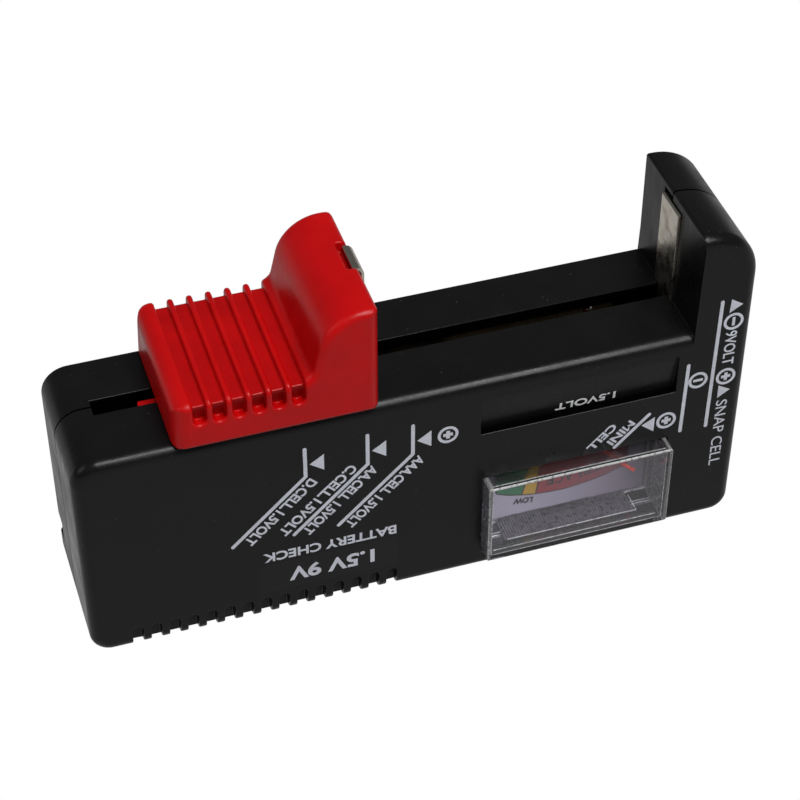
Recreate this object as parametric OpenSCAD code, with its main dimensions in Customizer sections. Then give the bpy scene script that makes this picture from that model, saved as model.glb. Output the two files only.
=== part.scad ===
// Battery tester: a two-part housing with an upright arm at one end, a sliding
// contact block on its deck, and a small moving-coil meter behind a clear window.
// X runs along the housing, Y through its depth (front face at -Y), Z is up.
// The origin is at the middle of the base. Every size is in millimetres.

/* [Housing] */
// Length of the housing
body_l = 110; // [108:1:114]
// Depth of the housing
body_d = 24; // [24:0.5:26]
// Height of the deck that the cell lies on
deck_h = 41.1; // [41:0.1:42]
// Height of the upright arm
arm_h = 60.4; // [60:0.2:64]
// Thickness of the arm along the housing
arm_t = 9.8; // [9.6:0.1:10.4]
// Wall thickness of both shells
wall = 2.2; // [2:0.1:2.2]
// Depth coordinate of the plane where the shells meet
split_y = 1; // [0.8:0.1:1.2]
// Corner radius at the ends of the deck
corner_r = 4.5; // [3.5:0.5:5]
// Corner radius at the ends of the base
foot_r = 3.4; // [3:0.1:4.5]
// Corner radius at the top of the arm
arm_corner_r = 9; // [8:0.2:9]
// Edge radius round the front face
front_edge_r = 2; // [1.5:0.1:2.2]
// Edge radius round the back face
back_edge_r = 0.7; // [0.6:0.1:1.6]

/* [Deck slot] */
// Width of the slot
slot_w = 3.3; // [3.2:0.05:3.4]
// Depth coordinate of the middle of the slot
slot_y = 0.8; // [0.7:0.05:0.9]
// Left end of the slot
slot_x = -48.9; // [-49.5:0.1:-48.6]

/* [Front face] */
// Number of grip grooves along the bottom edge
grip_n = 15; // [8:1:15]
// Spacing of the grip grooves
grip_pitch = 3.03; // [2.8:0.01:3.1]
// Width of one grip groove
grip_w = 1.75; // [1.4:0.05:1.9]
// Depth of one grip groove
grip_deep = 1.9; // [0.6:0.1:2]
// Depth of the label recess at its lower edge
recess_deep = 1.45; // [0.8:0.05:1.5]

/* [Slider] */
// Left face of the slider at rest
slider_x0 = -39.3; // [-39.8:0.1:-39.2]
// Right face of the slider at rest
slider_x1 = -7; // [-7.2:0.1:-6.9]
// Top of the ribbed thumb rest
rib_top = 49.7; // [49.4:0.1:51]
// Half the depth of the slider, which overhangs both long faces of the housing
slider_half = 13; // [12:0.1:13.4]
// Depth of the grooves between the ribs
groove_deep = 1.1; // [0.6:0.1:1.3]
// Running gap between the slider and the deck
slide_gap = 0.15; // [0.1:0.05:0.2]

/* [Meter] */
// Left edge of the meter window
window_x0 = 10.4; // [10.2:0.1:10.6]
// Right edge of the meter window
window_x1 = 42.1; // [41.9:0.1:42.3]
// Lower edge of the meter window
window_z0 = 3.9; // [3.8:0.1:4.0]
// Upper edge of the meter window
window_z1 = 20.3; // [20:0.1:20.4]
// How far the window stands out of the front face
window_out = 2.9; // [2:0.1:3.2]
// Length of the needle from its pivot to its tip
needle_l = 17.57; // [15:0.1:18]
// Angle that the needle sweeps from zero to full scale
needle_swing = 92; // [70:1:92]

/* [Hidden] */
$fn = 48;

// How far a cutting tool runs past the face that it cuts
past = 0.5;
half_l = body_l / 2;
half_d = body_d / 2;
arm_x = half_l - arm_t;
deck_under = deck_h - wall;
slot_y0 = slot_y - slot_w / 2;
slot_y1 = slot_y + slot_w / 2;

// Screw bosses, as [x, z]
bosses = [[-46, 30], [3.5, 8], [50.1, 53.5]];
boss_r = 3.2;
pilot_r = 1.05;
pilot_end_y = -7.5;
screw_hole_r = 1.25;
screw_head_r = 2.1;
screw_seat_y = 5.5;
counterbore_r = 2.4;
screw_r = 1;
screw_l = 11;

// Label recess in the front face
recess_x = [9.7, 42.8];
recess_z = [30.1, 37.5];
recess_top_deep = 0.5;

// Grip grooves
grip_x = -47.5;
grip_h = 4.4;
grip_backing = 1.2;

// Contact plate on the arm
plate_t = 0.5;
plate_y = [-2.6, 3.9];
plate_top = 58.4;
plate_foot = 34;
tail_y = [-0.6, 2.2];

// Pads for a snap-terminal battery on the outer end face, spaced as its snaps are
snap_pitch = 12.7;
snap_z = 37;
pad_size = 7.8;
pad_deep = 1.2;
pad_t = 0.4;
pad_gap = 0.3;

// Meter
meter_in = 6.3;
meter_back = 7.4;
meter_top = 34;
case_wall = 1;
window_wall = 0.75;
pane_t = 1;
pivot = [26.25, 22];
staff_r = 0.3;
ring_r = [5.8, 9.5];
ring_half = 4.2;
core_r = 4.25;
coil_in = 4.55;
frame_t = 0.25;
coil_out = 5.4;
coil_half = 5.45;

// Slider details
groove_n = 6;
groove_x = -34.9;
groove_pitch = 3.04;
groove_w = 2.1;
pocket_z = 45.5;
wall_arc = [-9.0, 53.2];
wall_arc_r = 7.6;
wall_lean = 13;
slider_foot_r = 0.7;
guide_y = [slot_y0 + 0.3, slot_y1 - 0.3];
strip_t = 0.45;
strip_y = [-1.8, 4];

// Circuit board
board_x = [-36, -8];
board_z = [10, 28];
board_y = [5, 6.2];
lead_r = 0.3;

// Rail
rail_y = [4.6, 5.1];
rail_z = [34.4, 38.4];
rail_x = [-45, 38];
rail_ribs = [-43.5, 35];

housing_black = [0.12, 0.12, 0.12];
slider_red = [0.72, 0.07, 0.07];
nickel = [0.72, 0.69, 0.62];
brass_colour = [0.71, 0.57, 0.3];
clear_lilac = [0.8, 0.78, 0.86, 0.4];

// ---------------------------------------------------------------- helpers

// Removes the sharp corner at [x, y]; sx and sy point into the rectangle
module corner_cut(x, y, sx, sy, r) {
    if (r > 0)
        difference() {
            translate([sx > 0 ? x - past : x - r, sy > 0 ? y - past : y - r])
                square(r + past);
            translate([x + sx * r, y + sy * r])
                circle(r);
        }
}

// Rectangle with a radius for each corner: low left, low right, top right, top left
module corner_rect(x0, x1, y0, y1, r) {
    difference() {
        translate([x0, y0])
            square([x1 - x0, y1 - y0]);
        corner_cut(x0, y0, 1, 1, r[0]);
        corner_cut(x1, y0, -1, 1, r[1]);
        corner_cut(x1, y1, -1, -1, r[2]);
        corner_cut(x0, y1, 1, -1, r[3]);
    }
}

// A box given by its limits on each axis
module box(x, y, z) {
    translate([x[0], y[0], z[0]])
        cube([x[1] - x[0], y[1] - y[0], z[1] - z[0]]);
}

// A cylinder along Y at [x, z]
module rod_y(at, r, y) {
    translate([at[0], y[1], at[1]])
        rotate([90, 0, 0])
            cylinder(r = r, h = y[1] - y[0]);
}

// Extrudes a profile drawn in X and Z along Y
module along_y(y) {
    translate([0, y[1], 0])
        rotate([90, 0, 0])
            linear_extrude(y[1] - y[0])
                children();
}

// Extrudes a profile drawn in Y and Z along X
module along_x(x) {
    translate([x[0], 0, 0])
        rotate([90, 0, 90])
            linear_extrude(x[1] - x[0])
                children();
}

// Round corner post of a block, with the front and back edges rounded over
module corner_post(at, r, front_r, back_r) {
    translate([at[0], 0, at[1]])
        rotate([-90, 0, 0])
            rotate_extrude()
                corner_rect(0, r, -half_d, half_d, [0, front_r, back_r, 0]);
}

// Block with round corners r (low left, low right, top right, top left) seen from
// the front, and rounded front and back edges
module edge_block(x0, x1, z0, z1, r, front_r, back_r) {
    zm = [max(r[0], r[1]), max(r[2], r[3])];
    middle = (z0 + z1) / 2;
    along_x([x0 + r[0], x1 - r[1]])
        corner_rect(-half_d, half_d, z0, middle, [front_r, back_r, 0, 0]);
    along_x([x0 + r[3], x1 - r[2]])
        corner_rect(-half_d, half_d, middle, z1, [0, 0, back_r, front_r]);
    translate([0, 0, z0 + zm[0]])
        linear_extrude(z1 - zm[1] - z0 - zm[0])
            corner_rect(x0, x1, -half_d, half_d, [front_r, front_r, back_r, back_r]);
    corner_post([x0 + r[0], z0 + r[0]], r[0], front_r, back_r);
    corner_post([x1 - r[1], z0 + r[1]], r[1], front_r, back_r);
    corner_post([x1 - r[2], z1 - r[2]], r[2], front_r, back_r);
    corner_post([x0 + r[3], z1 - r[3]], r[3], front_r, back_r);
}

// Cuts every corner of a path once, keeping its two ends
function cut_corners(p) = concat([p[0]],
    [for (i = [0 : len(p) - 2], part = [0.25, 0.75]) p[i] * (1 - part) + p[i + 1] * part],
    [p[len(p) - 1]]);

// Direction of a path at point i
function heading(p, i) = unit(p[min(i + 1, len(p) - 1)] - p[max(i - 1, 0)]);
function unit(v) = v / norm(v);

// Wire of round section swept along a path
module wire(points, d, colour) {
    sides = 8;
    lean = [0.32, 0.47, 0.83];
    path = cut_corners(cut_corners(points));
    last = len(path) - 1;
    rings = [for (i = [0 : last])
        let (along = heading(path, i), u = unit(cross(along, lean)), v = cross(along, u))
        for (k = [0 : sides - 1])
            path[i] + d / 2 * (u * cos(360 * k / sides) + v * sin(360 * k / sides))];
    skin = [for (i = [0 : last - 1], k = [0 : sides - 1])
        let (next = (k + 1) % sides)
        [i * sides + k, i * sides + next, (i + 1) * sides + next, (i + 1) * sides + k]];
    start_cap = [for (k = [sides - 1 : -1 : 0]) k];
    end_cap = [for (k = [0 : sides - 1]) last * sides + k];
    color(colour)
        polyhedron(rings, concat([start_cap, end_cap], skin));
}

// ---------------------------------------------------------------- housing

// Whole outside of the housing: the long body and the arm
module housing_solid() {
    edge_block(-half_l, half_l, 0, deck_h, [foot_r, foot_r, corner_r, corner_r],
        front_edge_r, back_edge_r);
    arm_solid();
}

// The arm: its inner face keeps sharp edges
module arm_solid() {
    intersection() {
        along_y([-half_d, half_d])
            corner_rect(arm_x, half_l, corner_r, arm_h, [0, 0, arm_corner_r, 0.6]);
        union() {
            linear_extrude(arm_h - arm_corner_r)
                corner_rect(arm_x, half_l, -half_d, half_d, [0, front_edge_r, back_edge_r, 0]);
            along_x([arm_x, half_l - arm_corner_r])
                corner_rect(-half_d, half_d, corner_r, arm_h,
                    [0, 0, back_edge_r, front_edge_r]);
            corner_post([half_l - arm_corner_r, arm_h - arm_corner_r], arm_corner_r,
                front_edge_r, back_edge_r);
        }
    }
}

// The hollow inside both shells
module housing_hollow() {
    foot_inner_r = foot_r - wall;
    arm_inner_r = min(arm_corner_r, arm_t - wall) - wall;
    along_y([-half_d + wall, half_d - wall]) {
        corner_rect(-half_l + wall, half_l - wall, wall, deck_under,
            [foot_inner_r, foot_inner_r, 0, corner_r - wall]);
        corner_rect(arm_x + wall, half_l - wall, deck_under - 1, arm_h - wall,
            [0, 0, arm_inner_r, 0]);
    }
}

// The slot along the deck, and the slit that holds the arm's contact plate
module deck_slot() {
    box([slot_x, arm_x], [slot_y0, slot_y1], [deck_under - past, deck_h + past]);
}

module plate_slit(top) {
    box([arm_x - past, arm_x + wall + 1], [plate_y[0] - 0.15, plate_y[1] + 0.15],
        [plate_top - plate_t - 0.15, top]);
}

// Pockets and slits for the two snap-terminal pads
module pad_pockets() {
    for (z = [snap_z - snap_pitch / 2, snap_z + snap_pitch / 2]) {
        half = pad_size / 2 + pad_gap;
        along_x([half_l - pad_deep, half_l + past])
            corner_rect(-half, half, z - half, z + half, [1, 1, 1, 1]);
        box([half_l - wall - past, half_l - pad_deep + past], [-1.3, 1.3],
            [z - 3.1, z - 2.5]);
    }
}

module front_shell() {
    color(housing_black)
        difference() {
            union() {
                difference() {
                    intersection() {
                        housing_solid();
                        box([-body_l, body_l], [-body_d, split_y], [-past, arm_h + past]);
                    }
                    housing_hollow();
                }
                for (b = bosses)
                    rod_y(b, boss_r, [-half_d + wall - 0.2, split_y]);
                box([grip_x - grip_w, grip_x + (grip_n - 1) * grip_pitch + grip_w],
                    [-half_d + wall - 0.2, -half_d + wall + grip_backing],
                    [wall - 0.2, grip_h + 1]);
            }
            for (b = bosses)
                rod_y(b, pilot_r, [pilot_end_y, split_y + past]);
            box([window_x0 - 0.1, window_x1 + 0.1], [-half_d - past, -half_d + wall + past],
                [window_z0 - 0.1, window_z1 + 0.1]);
            label_recess();
            grip_grooves();
            deck_slot();
            plate_slit(plate_top + 0.15);
            pad_pockets();
        }
}

// Recess whose floor slopes up to the face at its upper edge
module label_recess() {
    along_x(recess_x)
        polygon([[-half_d - past, recess_z[0]],
            [-half_d + recess_deep, recess_z[0]],
            [-half_d + recess_top_deep, recess_z[1]],
            [-half_d - past, recess_z[1]]]);
}

module grip_grooves() {
    for (i = [0 : grip_n - 1]) {
        x = grip_x + i * grip_pitch;
        box([x - grip_w / 2, x + grip_w / 2], [-half_d - past, -half_d + grip_deep],
            [-past, grip_h - grip_w / 2]);
        rod_y([x, grip_h - grip_w / 2], grip_w / 2, [-half_d - past, -half_d + grip_deep]);
    }
}

module back_shell() {
    color(housing_black)
        difference() {
            union() {
                difference() {
                    intersection() {
                        housing_solid();
                        box([-body_l, body_l], [split_y, body_d], [-past, arm_h + past]);
                    }
                    housing_hollow();
                }
                for (b = bosses)
                    rod_y(b, boss_r, [split_y, half_d - wall + 0.2]);
                rail_supports();
                board_posts();
            }
            for (b = bosses) {
                rod_y(b, screw_hole_r, [split_y - past, screw_seat_y + past]);
                rod_y(b, counterbore_r, [screw_seat_y, half_d + past]);
            }
            deck_slot();
            plate_slit(plate_top + 0.8);
            pad_pockets();
            // Notch for prying the shells apart
            box([-half_l - past, -half_l + 0.5], [8.5, half_d + past], [6.4, 10.4]);
        }
}

// Two ribs that carry the contact rail
module rail_supports() {
    for (x = rail_ribs)
        box([x - 1.5, x + 1.5], [rail_y[1], half_d - wall + 0.2],
            [rail_z[0], deck_under + 0.2]);
}

module board_posts() {
    for (x = board_x, z = board_z) {
        inset_x = x < (board_x[0] + board_x[1]) / 2 ? x + 2 : x - 2;
        inset_z = z < (board_z[0] + board_z[1]) / 2 ? z + 2 : z - 2;
        rod_y([inset_x, inset_z], 1.5, [board_y[1], half_d - wall + 0.2]);
    }
}

module case_screws() {
    color("silver")
        for (b = bosses)
            difference() {
                union() {
                    rod_y(b, screw_r, [screw_seat_y - screw_l, screw_seat_y + 0.2]);
                    rod_y(b, screw_head_r, [screw_seat_y, screw_seat_y + 1.5]);
                }
                for (turn = [0, 90])
                    translate([b[0], screw_seat_y + 1.5, b[1]])
                        rotate([0, turn, 0])
                            cube([2.6, 1.6, 0.5], center = true);
            }
}

// ---------------------------------------------------------------- slider

// Side view of the thumb rest
module rest_profile() {
    z0 = deck_h + slide_gap;
    difference() {
        union() {
            corner_rect(slider_x0 + 0.3, slider_x1, z0, rib_top, [0, 0, 0, 2.5]);
            polygon([[slider_x0, z0], [slider_x0 + 1, z0], [slider_x0 + 1, rib_top - 2.5],
                [slider_x0 + 0.3, rib_top - 2.5]]);
        }
        for (i = [0 : groove_n - 1]) {
            x = groove_x + i * groove_pitch;
            translate([x - groove_w / 2, rib_top - groove_deep])
                square([groove_w, groove_deep + past]);
        }
    }
}

// Side view of the tall wall behind the thumb rest
module wall_profile() {
    tangent = [wall_arc[0] - wall_arc_r * cos(wall_lean),
        wall_arc[1] + wall_arc_r * sin(wall_lean)];
    foot_z = rib_top - 2;
    foot_x = tangent[0] - (tangent[1] - foot_z) * tan(wall_lean);
    fillet_r = 1.2;
    fillet_x = foot_x + 2 * tan(wall_lean);
    intersection() {
        union() {
            translate(wall_arc)
                circle(wall_arc_r);
            polygon([[foot_x, foot_z], tangent, wall_arc, [slider_x1, wall_arc[1]],
                [slider_x1, foot_z]]);
            difference() {
                translate([fillet_x - fillet_r + 0.25, rib_top - past])
                    square([fillet_r, fillet_r + past - 0.05]);
                translate([fillet_x - fillet_r + 0.25, rib_top + fillet_r])
                    circle(fillet_r);
            }
        }
        translate([slider_x0, foot_z])
            square([slider_x1 - slider_x0, 20]);
    }
}

// Rounds the long edges and the upright edges of a slider block
module slider_envelope(top) {
    intersection() {
        translate([0, 0, deck_h])
            linear_extrude(30)
                corner_rect(slider_x0, slider_x1, -slider_half, slider_half, [1, 1, 1, 1]);
        along_x([slider_x0, slider_x1])
            corner_rect(-slider_half, slider_half, deck_h + slide_gap, top,
                [slider_foot_r, slider_foot_r, 1.2, 1.2]);
    }
}

module slider() {
    pocket_r = groove_w / 2;
    color(slider_red)
        difference() {
            union() {
                intersection() {
                    along_y([-slider_half, slider_half])
                        rest_profile();
                    slider_envelope(rib_top);
                }
                intersection() {
                    along_y([-slider_half, slider_half])
                        wall_profile();
                    slider_envelope(wall_arc[1] + wall_arc_r);
                }
                slider_guide();
            }
            difference() {
                box([slider_x0 + 2, -18.5], [-half_d + 2, half_d - 2],
                    [deck_h, rib_top - groove_deep - 2]);
                box([slider_x0, 0], [guide_y[0] - 1, guide_y[1] + 1], [deck_h, rib_top]);
            }
            for (i = [0 : groove_n - 1]) {
                x = groove_x + i * groove_pitch;
                box([x - pocket_r, x + pocket_r], [-slider_half - past, -slider_half + 1],
                    [pocket_z + pocket_r, rib_top + past]);
                rod_y([x, pocket_z + pocket_r], pocket_r,
                    [-slider_half - past, -slider_half + 1]);
            }
            // Notch in the top edge that takes the contact strip's hook
            box([slider_x1 - 1.9, slider_x1 + past], [-2.2, 4.3], [58.8, 62]);
        }
}

// Blade that runs in the deck slot, with wings that hook under the deck
module slider_guide() {
    box([slider_x0 + 3, slider_x1 - 0.3], guide_y, [37.2, deck_h + 2]);
    box([-41.9, slider_x0 + 4], [guide_y[0], guide_y[0] + 1.5], [37.4, 40.4]);
    box([slider_x0 + 0.5, slider_x1 - 2], [-3.6, 3.9], [37.2, deck_under - 0.3]);
}

// Nickel strip: a rounded lip over the wall's top edge, a flat face, a narrow tail
// through the deck slot, and a wiper leaf that presses on the rail
module slider_contact() {
    face_x = slider_x1 + 0.02;
    lip = [slider_x1 - 0.55, 58.7];
    lip_r = 1.5;
    leaf_z = [34.6, 36.4];
    color(nickel) {
        along_y(strip_y) {
            translate([face_x, deck_h + 0.8])
                square([strip_t, 16.3]);
            translate([face_x, 56.8])
                square([lip[0] + lip_r - face_x, strip_t]);
            translate([lip[0] + lip_r - strip_t, 57])
                square([strip_t, lip[1] - 57]);
            difference() {
                translate(lip)
                    circle(lip_r);
                translate(lip)
                    circle(lip_r - strip_t);
                translate([lip[0] - 2 * lip_r, lip[1] - 2 * lip_r])
                    square([4 * lip_r, 2 * lip_r]);
                translate([lip[0] - 2 * lip_r - 0.3, lip[1] - lip_r])
                    square([2 * lip_r, 4 * lip_r]);
            }
        }
        box([face_x, face_x + strip_t], [-0.3, 1.9], [leaf_z[0], deck_h + 1]);
        translate([0, 0, leaf_z[0]])
            linear_extrude(leaf_z[1] - leaf_z[0])
                polygon([[-6.53, 1.6], [-6.53, 1.9], [-10, 2.6], [-20, 4.2], [-21.5, 4.55],
                    [-23, 4.1], [-23, 3.8], [-21.5, 4.25], [-20, 3.9], [-10, 2.3]]);
    }
}

// ---------------------------------------------------------------- contacts

module contact_rail() {
    color(brass_colour)
        box(rail_x, rail_y, rail_z);
}

// Plate on the arm's inner face; its top hooks into the arm and its tail drops
// through the deck slot to a solder tag
module fixed_contact() {
    x0 = arm_x - plate_t;
    inside = arm_x + wall + 0.1;
    color(nickel) {
        along_y(plate_y)
            polygon([[x0, deck_h + 0.1], [arm_x, deck_h + 0.1],
                [arm_x, plate_top - plate_t], [inside, plate_top - plate_t],
                [inside, plate_top - 1.6], [inside + plate_t, plate_top - 1.6],
                [inside + plate_t, plate_top], [x0 + 0.3, plate_top], [x0, plate_top - 0.3]]);
        box([x0, arm_x], tail_y, [plate_foot, deck_h + 0.2]);
        box([x0, arm_x + 3.5], tail_y, [plate_foot, plate_foot + plate_t]);
    }
}

// Square pad in its pocket, with a tail that passes through the end wall
module snap_pad(z) {
    x0 = half_l - pad_deep;
    color(nickel) {
        along_x([x0, x0 + pad_t])
            corner_rect(-pad_size / 2, pad_size / 2, z - pad_size / 2, z + pad_size / 2,
                [0.8, 0.8, 0.8, 0.8]);
        box([half_l - wall - 1.4, x0 + 0.1], [-1.1, 1.1], [z - 3, z - 2.6]);
        translate([x0 + pad_t, 0, z])
            rotate([0, 90, 0])
                rotate_extrude()
                    children();
    }
}

// Dished ring that centres the small stud of the battery
module nine_volt_positive() {
    snap_pad(snap_z - snap_pitch / 2)
        translate([2.9, 0])
            circle(0.35, $fn = 16);
}

// Low dome that reaches into the large socket of the battery
module nine_volt_negative() {
    snap_pad(snap_z + snap_pitch / 2)
        polygon([[0, -0.1], [2, -0.1], [1.5, 0.45], [0.8, 0.6], [0, 0.6]]);
}

// ---------------------------------------------------------------- meter

// Clear hood: a front pane, four walls, and a flange behind the front panel
module meter_window() {
    front = -half_d - window_out;
    panel = -half_d + wall;
    color(clear_lilac)
        difference() {
            union() {
                intersection() {
                    along_y([front, -meter_in - 0.1])
                        corner_rect(window_x0, window_x1, window_z0, window_z1,
                            [0.5, 0.5, 0.5, 0.5]);
                    along_x([window_x0, window_x1])
                        corner_rect(front, 0, window_z0, window_z1, [0.4, 0, 0, 0.4]);
                }
                along_y([panel + 0.1, panel + 0.9])
                    corner_rect(window_x0 - 1, window_x1 + 1, window_z0 - 1,
                        window_z1 + 1, [0.5, 0.5, 0.5, 0.5]);
            }
            along_y([front + pane_t, 0])
                corner_rect(window_x0 + window_wall, window_x1 - window_wall,
                    window_z0 + window_wall, window_z1 - window_wall,
                    [0.3, 0.3, 0.3, 0.3]);
            // The needle passes behind the top wall, and its tip dips into a shallow
            // relief in the lower wall
            box([window_x0 + window_wall, window_x1 - window_wall], [-8.3, 0],
                [window_z1 - 1, window_z1 + 2]);
            intersection() {
                rod_y(pivot, needle_l + 0.25, [-7.7, 0]);
                box([window_x0 + 2, window_x1 - 2], [-8, 0], [0, window_z0 + 2]);
            }
        }
}

// Tray that holds the movement; its floor carries the rear bearing
module meter_case() {
    y0 = -half_d + wall + 1;
    color([0.2, 0.2, 0.22])
        difference() {
            union() {
                difference() {
                    union() {
                        box([window_x0, window_x1], [-meter_in, meter_back],
                            [window_z0, meter_top]);
                        box([window_x0, window_x1], [y0, 0], [window_z1 + 1.1, meter_top]);
                    }
                    box([window_x0 + case_wall, window_x1 - case_wall],
                        [y0 - past, meter_back - case_wall],
                        [window_z0 + case_wall, meter_top - case_wall]);
                }
                for (a = [45 : 90 : 315])
                    rod_y(pivot + 7.6 * [cos(a), sin(a)], 1.2,
                        [ring_half, meter_back - case_wall / 2]);
            }
            rod_y(pivot, 1, [meter_back - case_wall - past, meter_back + past]);
            for (x = terminal_x)
                rod_y([x, terminal_z], 1, [0, meter_back + past]);
        }
}

terminal_x = [15.5, 37];
terminal_z = 26;

// Printed scale plate
module meter_dial() {
    color([0.78, 0.77, 0.86])
        box([window_x0 + case_wall + 0.1, window_x1 - case_wall - 0.1],
            [-meter_in, -meter_in + 0.3], [window_z0 + case_wall + 0.1, 19]);
}

module meter_terminals() {
    color(brass_colour)
        for (x = terminal_x) {
            rod_y([x, terminal_z], 0.95, [5, meter_back + 0.1]);
            rod_y([x, terminal_z], 1.8, [meter_back, meter_back + 0.5]);
        }
}

// Soft-iron ring round the coil
module yoke_ring() {
    color([0.45, 0.46, 0.48])
        difference() {
            rod_y(pivot, ring_r[1], [-ring_half, ring_half]);
            rod_y(pivot, ring_r[0], [-ring_half - past, ring_half + past]);
        }
}

module core_magnet() {
    color([0.3, 0.3, 0.32])
        rod_y(pivot, core_r, [-ring_half, ring_half]);
}

// Two keys that hold the core in the ring, clear of the coil's sweep
module core_spacers() {
    color(brass_colour)
        intersection() {
            difference() {
                rod_y(pivot, ring_r[0], [-3, 3]);
                rod_y(pivot, core_r, [-3 - past, 3 + past]);
            }
            box([pivot[0] - 1.25, pivot[0] + 1.25], [-4, 4],
                [pivot[1] - 8, pivot[1] + 8]);
        }
}

// Bar across the front of the movement that carries the front bearing
module bearing_bridge() {
    color(brass_colour)
        difference() {
            union() {
                along_y([-8.8, -8])
                    corner_rect(pivot[0] - 9.2, pivot[0] + 9.2, pivot[1] - 1.1,
                        pivot[1] + 1.1, [1, 1, 1, 1]);
                for (s = [-1, 1])
                    rod_y(pivot + [s * 8, 0], 1, [-8.1, -ring_half]);
            }
            rod_y(pivot, 0.9, [-9, -7]);
        }
}

module jewel_bearings() {
    color([0.75, 0.1, 0.25])
        difference() {
            union() {
                rod_y(pivot, 0.9, [-8.8, -8]);
                rod_y(pivot, 1, [meter_back - case_wall, meter_back]);
            }
            rod_y(pivot, staff_r + 0.04, [-9, -7]);
            rod_y(pivot, staff_r + 0.04, [meter_back - 2, meter_back - 0.15]);
        }
}

// Flat spiral spring; turn_to sets the direction of its coils
module hairspring(y, turn_to) {
    turns = 3.5;
    steps = 84;
    r0 = 0.95;
    r1 = 2.7;
    strip = 0.12;
    curve = [for (i = [0 : steps]) [r0 + (r1 - r0) * i / steps, turn_to * 360 * turns * i / steps]];
    inner = [for (p = curve) p[0] * [cos(p[1]), sin(p[1])]];
    outer = [for (i = [steps : -1 : 0])
        (curve[i][0] + strip) * [cos(curve[i][1]), sin(curve[i][1])]];
    color(brass_colour)
        translate([pivot[0], 0, pivot[1]])
            along_y(y)
                polygon(concat(inner, outer));
}

module hairspring_front() hairspring([-7.85, -7.6], 1);
module hairspring_rear() hairspring([5.75, 6], -1);

// Places a moving part at its zero position; drawn with the needle pointing down
module at_zero() {
    translate([pivot[0], 0, pivot[1]])
        rotate([0, -needle_swing / 2, 0])
            children();
}

// Rectangular loop in X and Y, of the given height
module coil_loop(in_x, out_x, in_y, out_y, h) {
    difference() {
        cube([2 * out_x, 2 * out_y, h], center = true);
        cube([2 * in_x, 2 * in_y, h + 1], center = true);
    }
}

module coil_frame() {
    color("silver")
        at_zero()
            coil_loop(coil_in, coil_in + frame_t, coil_half - 0.85, coil_half - 0.6, 2.2);
}

module coil_winding() {
    color([0.6, 0.3, 0.15])
        at_zero()
            coil_loop(coil_in + frame_t, coil_out, coil_half - 0.6, coil_half, 1.8);
}

module pivot_staffs() {
    color("silver") {
        rod_y(pivot, staff_r, [-8.7, -coil_half]);
        rod_y(pivot, staff_r, [coil_half, meter_back - 0.25]);
    }
}

module needle() {
    y = [-7.2, -6.95];
    color([0.9, 0.2, 0.1])
        difference() {
            union() {
                at_zero() {
                    along_y(y)
                        polygon([[-0.25, -needle_l], [0.25, -needle_l], [0.4, 0],
                            [0.5, 4.6], [-0.5, 4.6], [-0.4, 0]]);
                    rod_y([0, 4], 0.8, [-7.3, -6.8]);
                }
                rod_y(pivot, 0.85, [-7.4, -6.7]);
            }
            rod_y(pivot, staff_r, [-8, -6]);
        }
}

// ---------------------------------------------------------------- circuit

// Resistors, as [z, body radius, body length, distance between the legs]
load_part = [24, 1.7, 9, 13];
series_parts = [[18.5, 1.2, 6.4, 10], [13.5, 1.2, 6.4, 10]];
resistor_x = -22;

module circuit_board() {
    color([0.72, 0.52, 0.3])
        difference() {
            box(board_x, board_y, board_z);
            for (p = concat([load_part], series_parts), s = [-1, 1])
                rod_y([resistor_x + s * p[3] / 2, p[0]], lead_r + 0.1,
                    [board_y[0] - past, board_y[1] + past]);
        }
}

// Resistor with its leads bent down through the board
module resistor(p, colour) {
    y = board_y[0] - p[1] - 0.3;
    legs = p[3] / 2;
    color(colour)
        translate([resistor_x - p[2] / 2, y, p[0]])
            rotate([0, 90, 0])
                cylinder(r = p[1], h = p[2], $fn = 32);
    color("silver") {
        translate([resistor_x - legs, y, p[0]])
            rotate([0, 90, 0])
                cylinder(r = lead_r, h = 2 * legs, $fn = 16);
        for (s = [-1, 1]) {
            rod_y([resistor_x + s * legs, p[0]], lead_r, [y, board_y[1] + 0.4], $fn = 16);
            translate([resistor_x + s * legs, y, p[0]])
                sphere(lead_r, $fn = 16);
        }
    }
}

module load_resistor() resistor(load_part, [0.75, 0.65, 0.5]);

module series_resistors() {
    for (p = series_parts)
        resistor(p, [0.45, 0.6, 0.72]);
}

// Depth at which the wires run along the back shell
lay_y = 8.6;
pad_y = board_y[1];

module wire_rail() {
    wire([[-40.5, rail_y[1], 36.4], [-40.5, 7.6, 36.4], [-39, lay_y, 33.5],
        [-33, lay_y, 28.5], [-31, lay_y, 25.5], [-31, pad_y, 25.5]], 1.2, "red");
}

module wire_common() {
    wire([[47.6, slot_y, 33.98], [47.6, slot_y, 32.8], [47.4, 4, 32.4],
        [46.5, lay_y, 32.6], [43.5, lay_y, 32.6], [8, lay_y, 32.6], [-6, lay_y, 31],
        [-12.5, lay_y, 29], [-14, lay_y, 26], [-14, pad_y, 26]], 1.2, [0.1, 0.1, 0.1]);
}

module wire_nine_volt_positive() {
    wire([[51.38, 0, 27.85], [50.2, 0, 27.85], [48.5, 5.5, 28.6], [47, lay_y, 29.4],
        [43.5, lay_y, 29.6], [8, lay_y, 29.6], [-6, lay_y, 24], [-12, lay_y, 21.5],
        [-12, pad_y, 21.5]], 1.2, [0.8, 0.1, 0.1]);
}

module wire_nine_volt_negative() {
    wire([[51.38, 0, 40.55], [50.2, 0, 40.5], [48.6, 0.4, 39.6], [47.9, slot_y, 37.5],
        [47.9, slot_y, plate_foot + plate_t]], 1, [0.1, 0.1, 0.1]);
}

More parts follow.
